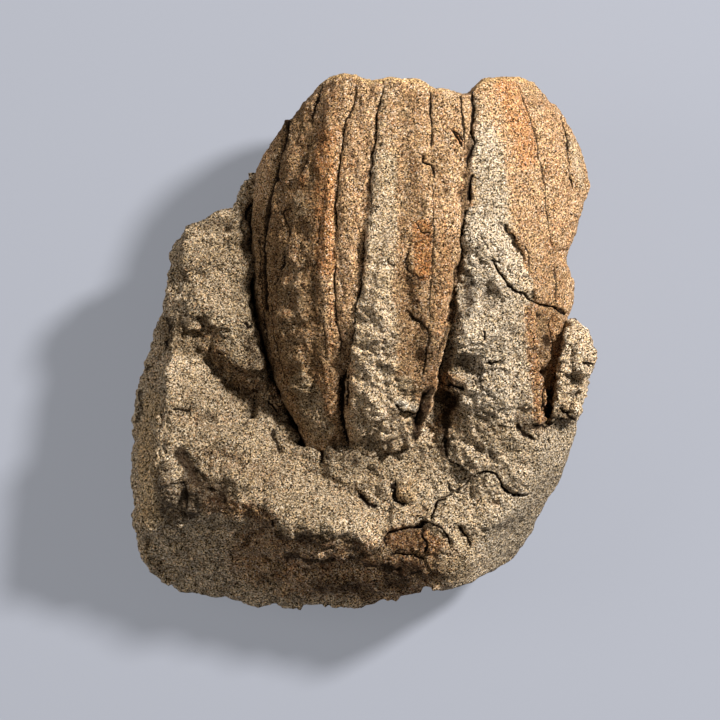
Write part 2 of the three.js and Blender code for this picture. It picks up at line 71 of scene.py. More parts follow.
# name: (depth, half width, line)
FRUIT_CRACKS = {
    "first rib from the left": (0.8, 0.14, [
        (-8.2, 26.2), (-9, 24.4), (-9.5, 22.6), (-9.8, 21.6), (-10.1, 20), (-10.6, 17.8),
        (-10.9, 15.6), (-11.4, 14), (-11.6, 12), (-11.6, 9), (-11.4, 5.5), (-11.1, 2.2)]),
    "left hairline": (0.4, 0.13, [(-9, 11.2), (-9.1, 9.5), (-9.8, 8.2), (-10.2, 7.2), (-10.2, 5.8)]),
    "over the left lump": (0.3, 0.12, [(-8.3, 16), (-9.2, 15.3), (-9, 14.2), (-8.5, 12.6)]),
    "left flank": (0.3, 0.12, [(-12.3, 13.6), (-12.2, 10), (-12, 6), (-11.5, 2), (-10.6, -2)]),
    "brown stripe of the flank": (0.25, 0.12, [(-10.8, 5), (-10.5, 2), (-9.9, -1), (-9.2, -4.6)]),
    "top left notch": (0.4, 0.15, [(-4.7, 30.6), (-5.1, 29.4), (-5.6, 28.2), (-5.8, 27), (-5.9, 25.6)]),
    "slanting break on the left": (0.35, 0.13, [
        (-4.2, 24), (-5.6, 23.2), (-6.3, 22.4), (-6.8, 21), (-7.4, 19.8)]),
    "second rib": (0.4, 0.11, [
        (-0.5, 31.2), (-0.7, 30), (-0.9, 28.8), (-1.3, 27.4), (-1.9, 26), (-2.2, 24.6), (-2.3, 23),
        (-2.6, 22), (-2.8, 20), (-2.9, 18), (-3.1, 16), (-3, 14.4), (-3, 12)]),
    "second rib, below": (0.3, 0.11, [
        (-3, 10), (-3.3, 7), (-3.1, 4.5), (-3, 2.5), (-2.6, 1), (-2.4, -2)]),
    "left of it, below": (0.25, 0.1, [(-4.7, 2.4), (-4.4, 0.6), (-4.2, -1.2)]),
    "left edge of the pale rib, top": (0.35, 0.11, [
        (2.2, 31), (2.5, 30), (2.1, 28.4), (1.7, 27), (1.75, 25), (1.4, 22.6), (1.2, 22),
        (1.5, 20.8), (1.1, 20.2), (0.9, 18), (1.4, 17.2), (1.3, 15.4)]),
    "left edge of the pale rib, middle": (0.6, 0.14, [
        (0.5, 13.4), (0.2, 11.5), (0.1, 8.4), (0, 7.2), (-0.2, 6.2), (-0.5, 4), (-0.7, 2),
        (-1.1, 0), (-1.4, -2), (-1.8, -3.2)]),
    "left edge of the pale rib, foot": (1.0, 0.26, [
        (-1.8, -3.2), (-2.4, -4.4), (-2.5, -6), (-2.4, -8), (-2.2, -10), (-2, -11), (-1.5, -12)]),
    "beside the pale rib": (0.5, 0.14, [(-1.5, -3.4), (-1.8, -5.4), (-1.7, -7.6)]),
    "third rib": (0.45, 0.12, [
        (7.9, 30), (8, 27.6), (8.15, 26), (8.1, 24), (8, 22.6)]),
    "third rib, bent": (0.4, 0.12, [(7.3, 22.1), (7.1, 21.2), (8.2, 20.7), (8.5, 19.2)]),
    "third rib, faint": (0.15, 0.09, [(8.2, 19), (8.3, 14), (8.2, 9), (7.9, 5), (7.9, 2.4)]),
    "fourth rib": (0.4, 0.11, [(11.4, 29.6), (11.5, 28), (11.5, 26), (11.7, 24.4), (11.8, 22.8)]),
    "chip by the fourth rib": (0.6, 0.16, [(10.3, 24.9), (10.8, 24.1), (11.2, 23.7), (11.6, 22.9)]),
    "chip's other edge": (0.5, 0.12, [(10.4, 24.7), (11.2, 24.3), (11.7, 23.5)]),
    "orange patch, left": (0.4, 0.12, [(5.3, 10.9), (4.95, 9.7), (5.1, 8.8), (5.6, 8.2)]),
    "orange patch, top": (0.4, 0.11, [(6.1, 14), (6.6, 13.3), (7, 12.9), (8, 12.8)]),
    "orange patch, foot": (0.3, 0.14, [(6.1, 8.2), (6.5, 7.6), (7.2, 7.7)]),
    "ring on the pale rib": (0.3, 0.1, [(3.1, 10.2), (2.9, 9.8), (3.1, 9.3), (3.6, 9.1), (4, 9.3)]),
    "short one in the valley": (0.3, 0.14, [
        (5.2, 4.2), (6.1, 2.8), (7.5, 1.7), (7.7, 0.6), (7.4, -1), (7.2, -2), (7, -3.8)]),
    "main crack, top": (0.9, 0.2, [
        (12.7, 29.7), (12.9, 27.2), (12.7, 26), (12.6, 24.4), (13.1, 23.5), (12.7, 22.6),
        (12.3, 21.4), (12.1, 20.4)]),
    "main crack, upper": (0.9, 0.19, [(12.8, 19.8), (12.5, 18.6), (12.35, 17.6), (12.6, 16.5)]),
    "main crack, middle": (0.6, 0.16, [(11.8, 15.6), (12, 14), (11.8, 12.6), (11.9, 11), (11.7, 10)]),
    "main crack, below": (1.6, 0.3, [
        (11.7, 10.2), (11.3, 8.4), (11.1, 6.6), (10.8, 5), (10.6, 3.8), (10.4, 2.2), (9.8, 0.7),
        (9.5, -0.8), (9.2, -2), (9, -3.4)]),
    "end of the main crack": (0.9, 0.2, [(8.2, -5.4), (7.6, -6.4), (7, -7.3), (6.5, -8.4), (6.4, -10.2)]),
    # painted shade: a black crack by the pebbles
    "black crack by the pebbles": (0.8, 0.2, [(3.9, -7.1), (4.6, -7.9), (5.5, -8.1), (6.4, -8.6)]),
    "right lobe rib": (0.15, 0.09, [
        (18, 31.2), (18.8, 29), (19.2, 27.8), (19.8, 26), (20.4, 24.4), (20.6, 22.6), (21, 21),
        (21.3, 18.8), (21.6, 16.4), (21.8, 14.6), (22, 12.4), (22.3, 11.4)]),
    "right lobe rib, below": (0.2, 0.1, [(22.6, 9.4), (22.8, 8), (22.9, 5)]),
    "right edge rib": (0.7, 0.15, [
        (23.4, 27.2), (23.9, 25.6), (24.3, 24), (24.3, 22.6), (24.5, 21), (24.7, 19.6), (25, 18.5)]),
    "right edge, short": (0.3, 0.1, [(25.6, 19.4), (25.9, 18.4)]),
    "over the crust": (0.6, 0.17, [
        (13.2, 15.8), (14.4, 14.9), (15.8, 14.2), (16.6, 13.5), (17.4, 12.9), (18, 12.1)]),
    "right lobe break": (0.9, 0.16, [
        (18.2, 6), (19.2, 5.5), (19.9, 4.9), (20.8, 4.6), (22.6, 4.2), (24.3, 3.2)]),
    "right lobe break, upper": (0.5, 0.13, [(19.3, 7.7), (19.6, 6.6), (20, 5.2)]),
    "right lobe break, corner": (0.8, 0.34, [(23.2, 4.1), (23.7, 3.9), (24.1, 3.3)]),
    "right of the crust": (0.35, 0.12, RIGHT_OF_CRUST),
    "left edge of the wedge": (0.4, 0.15, [(20, 3.6), (19.9, 1.4), (20.2, -1), (20.7, -2.9), (21.2, -4.2)]),
    "in the wedge": (0.7, 0.2, [(21.6, -4.4), (21.5, -6), (21.4, -7.4), (21, -9.2)]),
    "in the wedge, upper": (0.3, 0.1, [(21.8, 2.6), (21.8, 0.4), (21.7, -1)]),
    "along the knob": (1.1, 0.26, [
        (24.3, 2.4), (23.8, 1.1), (23.5, -0.4), (23.2, -2.2), (23.1, -3.4), (22.8, -5),
        (22.5, -6.4), (22.2, -7.8), (21.9, -9.2)]),
}

# Stone that stands higher, or lower where the rise is negative, close to the right of a
# line, as one walks it: name: (rise, reach, line)
FRUIT_STEPS = {
    "pale rib": (0.15, 1.8, [
        (2.3, 31), (1.8, 27), (1.4, 23), (1.1, 19), (1.0, 15), (0.3, 11), (-0.1, 6), (-1.2, 0),
        (-2.2, -5), (-2.2, -9), (-1.4, -12)]),
    "right lobe": (0.2, 2.4, [
        (12.7, 31), (12.8, 26), (12.5, 21), (12.4, 17), (11.8, 12), (11, 6), (10.3, 2)]),
    "slanting break on the left": (-0.3, 1.4, [(-4.2, 24), (-6.3, 22.4), (-7.4, 19.8)]),
    "orange patch": (0.35, 1.2, [(5.9, 14), (5.1, 10.7), (5.2, 8)]),
    "valley": (-0.4, 1.2, [(5.2, 4.4), (6.1, 3), (7.6, 1.8)]),
    "second rib": (-0.25, 1.5, [(-0.9, 29.2), (-2.3, 24.3), (-2.9, 18), (-3, 10), (-3.1, 3)]),
    "right rib": (-0.15, 1.6, [(18.7, 29.8), (20.2, 24.3), (21.3, 19), (22, 12)]),
    "crust edge": (-0.1, 1.2, [(13.2, 15.8), (15.8, 14.2), (18, 12.1)]),
}

# Long swellings, or grooves where the height is negative: name: (height, half width, line)
FRUIT_RIDGES = {
    "crest of the left rib": (0.3, 0.7, [(-3.4, 29), (-3.7, 24), (-3.8, 18), (-3.8, 10), (-3.7, 3)]),
    "shaded side of the left rib": (-0.3, 0.9, [(-5.2, 20), (-5.3, 14), (-5.4, 8), (-5.2, 2), (-4.8, -3)]),
    "filling right of the left rib": (0.35, 0.8, [(-2.2, 21), (-2.4, 15), (-2.3, 8)]),
    "dark furrow of the flank": (-0.3, 0.6, [(-10.4, 13), (-10.3, 8), (-9.9, 3), (-8.9, -2)]),
    "outside of the left lumps": (0.55, 0.9, [(-9.4, 9), (-9.4, 4), (-8.8, -1), (-8, -4)]),
    "filling of the wedge": (1.2, 1.5, [(21.9, 2.6), (21.9, -2), (21.8, -6), (21.6, -8.8)]),
    "filling at the top of the main crack": (0.35, 0.9, [(12.8, 30), (12.7, 25), (12.5, 20), (12.3, 16)]),
    "orange rib of the right lobe": (0.2, 1.0, [(17.4, 30), (18.4, 26.6), (19.2, 23)]),
    "swelling beside the main crack": (0.25, 0.8, [(14.6, 29), (15, 24), (15, 18)]),
    "foot of the pale rib": (-0.6, 1.1, [(-1.2, -11.6), (1.4, -12.2), (3.8, -11.8)]),
    "left edge of the pale rib": (0.6, 0.75, [
        (2.6, 29), (2.2, 24), (1.9, 18), (1.1, 13), (0.8, 8), (0.3, 4), (-0.4, 0), (-1, -4),
        (-1.3, -8)]),
    "right side of the wedge": (1.7, 1.0, [(23.4, 1.4), (23.2, -2), (22.9, -5), (22.3, -8)]),
}

# Round lumps, or pits where the height is negative: name: (x, y, radius, height)
FRUIT_LUMPS = {
    "pit one": (9.7, 17.6, 0.35, -0.8),
    "pit two": (11.3, 17.4, 0.4, -0.8),
    "pit three": (11.6, 19.5, 0.3, -0.6),
    "pit four": (7.2, 21.8, 0.3, -0.5),
    "pit in the main crack": (12.7, 24.6, 0.35, -0.6),
    "dent below the fourth rib": (11.6, 21.4, 0.6, -0.3),
    "end of the far rib": (-8.7, 26, 0.7, 0.7),
    "dent above the far rib": (-7.9, 27.4, 0.6, -0.5),
    "left lump, top": (-7, 16.4, 1.0, 0.6),
    "left lump, highest": (-7, 19.3, 0.7, 0.5),
    "left lump, upper": (-8.2, 10.4, 0.9, 0.6),
    "left lump, second": (-7.4, 6.8, 0.9, 0.6),
    "left lump, middle": (-8.7, 3.4, 1.0, 0.6),
    "left lump, lower": (-6.8, 0.8, 1.0, 0.6),
    "left lump, below": (-7.8, -1.7, 0.9, 0.5),
    "left lump, lowest": (-7.1, -4.8, 1.1, 0.7),
    "left lump, foot": (-5.2, -8.6, 1.3, 0.4),
    "dent between left lumps": (-8.6, 5, 0.9, -0.7),
    "second dent": (-7.8, 2.2, 0.8, -0.6),
    "third dent": (-8.2, -3.2, 0.9, -0.7),
    "fourth dent": (-7.6, 8.4, 0.8, -0.6),
    "fifth dent": (-7.4, 13.2, 0.9, -0.6),
    "dent by the slanting break": (-7.4, 23.4, 1.2, -0.4),
    "pale rib's swelling": (1.8, 2, 2.4, 0.5),
    "pale rib's foot": (1.6, -7.5, 2.4, 0.5),
    "dent in the pale rib": (1.4, -10.9, 0.8, -0.5),
    "second dent in the pale rib": (0.9, -0.4, 0.8, -0.3),
    "valley floor": (7.2, -1.6, 1.3, -0.6),
    "valley floor, low": (7.4, -6.8, 0.8, -0.8),
    "grey pebble": (4.7, -6.6, 0.6, 0.5),
    "second grey pebble": (6.2, -7.3, 0.5, 0.45),
    "hole by the pebbles": (4.9, -8.5, 0.5, -0.8),
    "black hollow": (6.4, -9.2, 0.6, -0.8),
    "notch on the right edge": (23.8, 10.5, 0.6, -1.1),
    "hole in the wedge": (20.7, -2.8, 0.35, -0.6),
    "pit over the crust": (16.6, 13.7, 0.35, -0.5),
}

# Colour along lines: name: (strength, half width, line)
FRUIT_STAINS_AND_SHADE = {
    "orange": {
        "crest of the left rib": (0.75, 1.25, [(-4.3, 24), (-4.4, 19), (-4.4, 14), (-4.2, 9)]),
        "left rib, top": (0.4, 1.0, [(-3.4, 29), (-3.5, 25), (-3.4, 22)]),
        "left rib, lower": (0.4, 0.5, [(-3.9, 12), (-3.7, 6), (-3.5, 1), (-3.5, -2)]),
        "fleck on the far rib": (0.6, 0.5, [(-6.9, 20.2), (-7, 18.6)]),
        "foot of the left rib": (0.4, 1.0, [(-5.2, -3.6), (-3.9, -4.6), (-3.2, -8)]),
        "beside the second rib": (0.35, 0.9, [(-1.3, 24), (-1.7, 20.6)]),
        "right lobe rib": (0.7, 1.5, [(16.8, 30.5), (18.1, 27), (19, 24), (19.2, 21.8)]),
        "right of the lobe rib": (0.3, 1.4, [(21.6, 28), (22.4, 24), (22.6, 20)]),
        "patch": (0.95, 1.1, [(7, 13.4), (7.1, 11), (7, 8.4)]),
        "right of the patch": (0.45, 1.0, [(9.6, 13), (9.6, 8), (9.2, 3)]),
        "right edge": (0.3, 2.2, [(23.6, 16), (22.8, 9), (22, 5)]),
        "wedge": (0.5, 1.0, [(22.4, 3), (22.6, 0), (22.2, -4.8)]),
        "chip by the fourth rib": (0.8, 0.4, [(10.6, 24.5), (11.4, 23.6)]),
        # painted highlight: a warm tint along the top rims, where the key light catches them
        "painted highlight on the rim of the broken end": (0.2, 0.5, [(-1.8, 31.7), (-0.4, 31.4), (3, 31.1), (7, 31)]),
        "painted highlight on the rim of the right lobe": (0.3, 0.6, [(14.4, 31.4), (18.6, 31.4), (20.8, 30.4)]),
        "reddish spot in the valley": (0.5, 0.6, [(8.3, -2.8), (8.4, -4.8)]),
    },
    "bare": {
        "pale rib, top": (0.45, 1.2, [(3.2, 30), (3, 26), (2.6, 21)]),
        "pale rib": (0.9, 1.5, [(2.6, 21), (2.5, 14), (2.2, 8), (1.8, 4)]),
        "pale rib, foot": (1.0, 2.4, [(1.7, 4), (1.6, -2), (1.4, -7), (1.2, -12)]),
        "right lobe strip, top": (0.55, 1.0, [(13.4, 28.4), (14.2, 25), (15, 22)]),
        "right lobe strip": (1.0, 1.9, [(14.6, 22), (15, 18), (15.4, 14)]),
        "right margin": (0.6, 0.7, [(24.6, 24), (25.4, 21.6), (25.8, 19)]),
        "left lumps, top": (0.5, 0.7, [(-7, 17.4), (-7.1, 15.4)]),
        "left lumps": (0.4, 1.5, [(-8, 10.6), (-8.3, 6.6), (-8, 3.6), (-7.8, 0.4), (-7.2, -1.8)]),
        "left lumps, low": (0.8, 1.6, [(-7.1, -4.6), (-6, -6.4), (-5, -9.8)]),
        "valley foot": (0.9, 1.4, [(4.8, -5), (5, -9), (4.6, -12)]),
        "beside the patch": (0.35, 0.6, [(5, 27), (5.2, 20), (4.8, 15)]),
        "between the last cracks": (0.3, 0.7, [(10, 29), (10.2, 21), (10.6, 17)]),
    },
    "grey": {
        "pebble": (1.0, 0.45, [(4.4, -6.8), (4.9, -7)]),
        "second pebble": (0.9, 0.35, [(5.8, -7.4), (6.2, -7.5)]),
        "pale rib": (0.12, 1.6, [(2.4, 14), (2, 6), (1.6, -4), (1.4, -10)]),
        "right lobe strip": (0.5, 1.6, [(14.2, 24), (15, 18), (15.4, 14)]),
    },
    # painted shade, with some duller stone: darkens the left flank, which turns from the light, the shaded
    # side of the left rib, the wedge in the knob's shadow and the hollows beside the main crack
    "painted_shade_and_dull_tone": {
        "left flank": (0.75, 2.8, [(-10.6, 14), (-10.2, 6), (-9.4, 0), (-7.6, -8)]),
        "upper left": (0.7, 2.3, [(-7.6, 27), (-7.8, 23), (-8.4, 18), (-8.8, 14)]),
        "shaded side of the left rib": (0.85, 1.2, [(-6, 21), (-6.2, 14), (-6.4, 8), (-6, 2), (-5.4, -3)]),
        "top of the left rib": (0.45, 1.2, [(-3.6, 28), (-3.8, 25), (-4.2, 21)]),
        "between the ribs": (0.15, 0.9, [(-1.9, 8), (-1.8, 3), (-2, -1)]),
        "right side of the pale rib": (0.75, 1.4, [(4.9, 8), (5.2, 3), (5.6, -2), (5.6, -5)]),
        "pale rib, top": (0.25, 1.3, [(3.2, 28), (3.3, 20), (3, 11)]),
        "right lobe strip": (0.2, 1.8, [(14.2, 19), (15, 13)]),
        "foot of the left ribs": (0.5, 2.4, [(-5, -1), (-4.2, -6), (-4, -11)]),
        "right of the pale rib": (0.4, 1.2, [(5.6, 28), (5.8, 24), (5.8, 18), (5.6, 12), (5.2, 7)]),
        "between the last cracks": (0.3, 1.2, [(8.6, 22), (8.8, 18)]),
        "lower middle": (0.5, 1.8, [(7.6, 12), (7.4, 7), (6.8, 2)]),
        "beside the main crack": (0.35, 1.0, [(10.6, 12), (10.2, 7), (9.4, 2)]),
        "right lobe, low": (0.3, 2.2, [(22, 9), (21.6, 5)]),
        "wedge": (0.6, 1.9, [(21.8, 3.4), (21.8, -2), (21.6, -8)]),
    },
    # dark stains, and painted shade: under the left rib, in the furrow, in the valley and its hollows, in
    # the wedge and along the main crack the dark stands in for shade
    "dark_stain_and_shade": {
        "under the left rib": (0.25, 1.2, [(-8.4, 24.6), (-9, 20), (-9.6, 14), (-10, 6)]),
        "first rib": (0.8, 0.24, [
            (-8.4, 26), (-9.4, 22.6), (-10.1, 20), (-10.8, 17), (-11.4, 14), (-11.6, 9), (-11.3, 4)]),
        "shadow of the foot": (0.5, 0.8, [(-3.4, -11.6), (-0.6, -12), (1.8, -12.1), (3.6, -11.4)]),
        "in the furrow": (0.5, 0.7, [(-2.1, 2), (-2.2, -1.6), (-2.9, -5)]),
        "spot by the patch": (0.6, 0.5, [(7.1, 16.6), (7.1, 15.2)]),
        "grey spots": (0.35, 0.7, [(5.8, 17.4), (6.4, 20.4), (5.2, 22.6)]),
        "under the patch": (0.5, 0.6, [(5.8, 8), (6.4, 7.2), (7, 7.2)]),
        "valley": (0.4, 0.9, [(6.4, 3), (7.4, 1), (7.6, -3), (7.6, -6)]),
        "wedge": (0.45, 0.9, [(21.2, -3.4), (21.4, -6), (21.4, -8.6)]),
        "wedge, specks": (0.4, 0.6, [(21.2, 2.2), (20.9, 0.4), (21.4, -1.4)]),
        "wedge, top speck": (0.8, 0.35, [(20.1, 4), (20.4, 3.7)]),
        "wedge, left speck": (0.9, 0.4, [(20.8, -2.6), (21, -3.2)]),
        "wedge, middle speck": (0.8, 0.35, [(21.2, 0.9), (21.2, 0.3)]),
        "wedge, low speck": (0.85, 0.4, [(21.4, -4.8), (21.6, -5.4)]),
        "wedge, lowest speck": (0.85, 0.35, [(21.9, -6.8), (22, -7.8)]),
        # painted shade: black in the valley's hollows, by the pebbles and at the crack's end
        "painted shade in the valley's hollow": (0.85, 0.55, [(6.2, -8.4), (6.5, -10.2)]),
        "painted shade along the sliver": (0.5, 1.0, [(7.8, 1), (8.5, -2), (8.2, -5)]),
        "painted shade at the sliver's end": (0.8, 0.9, [(8, -5.6), (7.2, -8), (6.6, -10.6)]),
        "painted shade under the pebbles": (0.6, 0.5, [(3.6, -7.7), (4.6, -9), (4.8, -11)]),
        "along the main crack": (0.6, 0.55, [(12.5, 24), (12.3, 21), (12, 17.6), (11.8, 14), (11.8, 11)]),
    },
}

# Where crust and rind have grown together, the seam between the stones is filled.
CLOSED_SEAMS = {
    "over the crust": [(12.6, 15.9), (14.8, 14.6), (16.2, 14), (17.4, 12.9), (18.4, 11.6), (19, 10.4)],
    "right of the crust": [(19.1, 10), (18.9, 8.2), (19.5, 6.6)],
    "down the crust": [
        (19.8, 4.6), (19.9, 0), (20.4, -2.5), (20.9, -4.5), (21.5, -5.8), (21.2, -7.6), (20.8, -9.6)],
    "valley": [(8.3, -7), (7.2, -9.6), (6.4, -11.4)],
    "under the tip": [
        (6.2, -11.4), (4.4, -12.1), (2.8, -12.2), (1.2, -12.9), (-0.4, -12.5), (-1.7, -11.8),
        (-2.8, -12.4), (-4.6, -12.4), (-6.6, -12.3)],
}
SEAM_FILL = {"height": 0.5, "half width": 0.55}

# ------------------------------------------------------------------ what shows on the block
# The tables are laid out as the fruit's are.

LEFT_SIDE = [(-25, -7), (-25.6, -10), (-25.4, -14), (-25.2, -20)]
NODULE = [(4.7, -17.4), (5.4, -17.2)]
FIRST_HOLLOW = [(-20.4, -8.4), (-17.6, -8.8), (-14.6, -9.2)]
SECOND_HOLLOW = [(-17.6, -13), (-14, -14.2), (-10.6, -16)]
LONG_HOLLOW = [(-7.6, -14), (-4, -16.2), (-0.6, -18.2)]
FOOT_OF_SLOPE = [(-10.6, -9.8), (-10.3, -11.2), (-9.5, -12.6)]

MATRIX_CRACKS = {
    "rim of the flank gap": (1.2, 0.4, [
        (-12.9, 17.5), (-12.9, 16), (-12.8, 14.3), (-12.7, 12.3), (-12.6, 10), (-12.8, 8),
        (-12.8, 6), (-12.5, 4), (-12, 2), (-11.6, 0), (-11.3, -1.5), (-11, -4), (-10.9, -5.4)]),
    "foot of the flank": (1.2, 0.42, [
        (-9, -8), (-8.2, -8.8), (-7.6, -10), (-7.2, -11), (-6.8, -12.2)]),
    "branch at the flank": (0.6, 0.16, [(-11.2, -6.6), (-10.6, -7.4), (-9.9, -7.9)]),
    "top of the flank": (0.6, 0.2, [(-11.8, 22), (-12, 20.5), (-12.4, 18.8), (-12.9, 17.4)]),
    "beside the top of the flank": (0.6, 0.2, [(-13.1, 16.8), (-13.6, 15.6), (-13.9, 14.6)]),
    "left side": (0.4, 0.2, [(-23.6, 3.6), (-23.4, 1.6), (-23.8, 0.4), (-24, -0.6), (-24.8, -2.4)]),
    "left side, low": (0.5, 0.2, [(-25, -2.2), (-25.5, -3.2)]),
    "left side flake": (0.4, 0.22, [(-26.3, -5.1), (-26.6, -6.4), (-26.8, -7.8), (-27.1, -9.4)]),
    "hairline left": (0.35, 0.12, [(-22.4, -7.6), (-21.4, -7.6), (-20.2, -7.9)]),
    "corner of the left edge": (0.4, 0.18, [(-23.5, -5.4), (-23, -5.8)]),
    "toe": (0.9, 0.17, [
        (9.8, -13.4), (11.4, -14.6), (12.9, -15.5), (14.8, -15.1), (15.7, -15.3), (16.3, -16.2),
        (16.6, -17), (17.6, -17.7), (18.4, -18.1), (19.9, -17.9)]),
    "above the toe": (0.4, 0.16, [(9.7, -10.6), (9.7, -12), (9.8, -13.4)]),
    "toe, left": (0.8, 0.15, [(10, -18.2), (9, -18.4), (8.7, -18.9), (8.5, -19.9), (8.2, -20.7)]),
    "toe, joining": (0.3, 0.12, [(9.8, -18.2), (10.8, -17.4), (12, -16.8), (12.7, -15.7)]),
    "over the reddish fragment": (1.1, 0.19, [
        (2.9, -24), (2.9, -22.8), (3.3, -22.2), (4.8, -21.9), (5.6, -21.5), (6.6, -21.4),
        (7.3, -20.8), (8, -21)]),
    "round the fragment's right block": (0.5, 0.13, [(8, -21), (9.2, -21.6), (10, -22.6), (10.4, -23.8)]),
    "right of the fragment": (0.8, 0.2, [(11.3, -21.6), (12.4, -23), (12.9, -24.2)]),
    "in the fragment": (0.7, 0.15, [(7, -21.4), (7, -22.4), (7.6, -23.4), (7.4, -24.6)]),
    "below the fragment": (0.5, 0.15, [(3.2, -24.6), (4.4, -24.9), (6, -25), (7.4, -25.6)]),
    "end of the slope": (0.4, 0.14, [(-10.7, -20.1), (-10.3, -20.8), (-9.8, -21.5)]),
    "crust, high": (0.3, 0.12, [(13.4, 12.6), (14.1, 11.9), (14.7, 10.9)]),
    "crust, undercut": (0.7, 0.2, [(14.8, 9.9), (15.4, 9.6), (16.1, 9.3)]),
    "crust, middle": (0.9, 0.16, [
        (15.2, 9.9), (15.6, 8.8), (16.2, 7.9), (17.2, 6.8), (18.8, 5.8), (19.9, 4.7)]),
    "right of the crust": (0.35, 0.12, RIGHT_OF_CRUST),
    "crust, low": (0.25, 0.1, [(13.8, -2.8), (13.6, -4.2), (13.9, -5.2), (14.8, -6)]),
    "crust, beside the shelf": (0.5, 0.16, [(8.9, -4.3), (9.8, -4.9), (11, -5), (12, -5.5)]),
    "crust, dash": (0.4, 0.14, [(14.6, -2.4), (15.4, -2.5), (16.2, -2.3)]),
    "crust, short": (0.4, 0.14, [(14.2, 1.7), (14.2, 1), (14.3, 0.5)]),
    "beside the wedge": (0.5, 0.12, [(20.8, -2.4), (21.3, -4.4), (21.1, -6), (21.2, -8.4)]),
    "ledge": (1.0, 0.18, [(20.2, -9.6), (21.4, -9.4), (22.4, -9.4), (24.2, -9), (25.2, -8.7)]),
    "beside the ledge": (0.8, 0.26, [(18.2, -9.4), (19.2, -10.7), (20.6, -11.3)]),
    "below the ledge": (0.3, 0.1, [(22, -11.1), (22.4, -11.8)]),
    "knob groove": (0.7, 0.24, [(26, -2.1), (26.8, -2.3), (27.8, -2.3)]),
    "knob, low": (0.6, 0.16, [(23.3, -7.4), (23.9, -8.2), (24.6, -8.8)]),
    "round the nodule": (0.9, 0.24, [
        (3.8, -16), (3.5, -16.8), (3.6, -17.8), (4, -18.6), (4.8, -18.9), (5.4, -18.9)]),
    "left of the nodule": (0.6, 0.24, [(-0.4, -17.4), (0.2, -18.2), (0.8, -18.8), (1.9, -19)]),
    "right of the nodule": (0.4, 0.16, [(10.2, -16.2), (10.4, -17.2), (11.4, -17.5)]),
    "pit by the gap": (0.5, 0.18, [(-13.9, 2.6), (-13.4, 2), (-12.6, 2.3)]),
    "tip, left": (0.6, 0.3, [(-4.8, -11.6), (-4.6, -13), (-4.9, -14)]),
    "foot of the lower slope": (0.4, 0.24, FOOT_OF_SLOPE),
    "edge of the stain": (0.4, 0.14, [(-21, -16), (-20.6, -17.4), (-20.6, -19)]),
}

MATRIX_STEPS = {
    "ledge": (-0.6, 1.6, [(20, -9.7), (24, -9.1), (26, -8.6)]),
    "toe slab": (-0.45, 1.6, [
        (9.8, -13.4), (12.9, -15.5), (15, -15.1), (16.6, -17), (19.9, -17.9)]),
    "fragment": (-0.7, 1.8, [(2.9, -24), (3, -22.2), (7.5, -20.6), (11, -23.2)]),
    "shoulder ledge": (-0.4, 1.1, [(-22.2, 3.6), (-20.6, 3.6), (-19, 3.4), (-18, 2.6)]),
    "foot of the scallop": (0.5, 1.2, [(-20.6, 0), (-18.6, -2.1), (-16.4, -4.2)]),
    "pit below the scallop": (-0.7, 1.2, [(-16, -4.4), (-15.2, -5.6), (-13.6, -5.8), (-12.2, -5.4)]),
    "stained groove": (0.9, 1.0, [(-21.4, -13), (-20.2, -14.4), (-19.4, -16)]),
    "edge of the stained hollow": (-0.4, 1.2, [(-21, -16), (-20.6, -18), (-20.4, -20)]),
    "recess at the top": (-0.9, 0.9, [(-19, 14.2), (-17.4, 14.1), (-15.6, 13.9), (-14, 14.2)]),
    "valley wall": (-0.4, 1.0, [(11.6, 4), (10.8, 1), (10, -2), (9.2, -5)]),
    "left side": (-0.5, 1.4, [(-24.6, -2), (-24, 0.2), (-23.6, 3.6)]),
    "left side flake": (-0.5, 1.2, [(-27.1, -9.6), (-26.7, -7.4), (-26, -4.6)]),
    "right of the fragment": (-0.4, 1.2, [(11.2, -21.4), (12.9, -24.2)]),
}

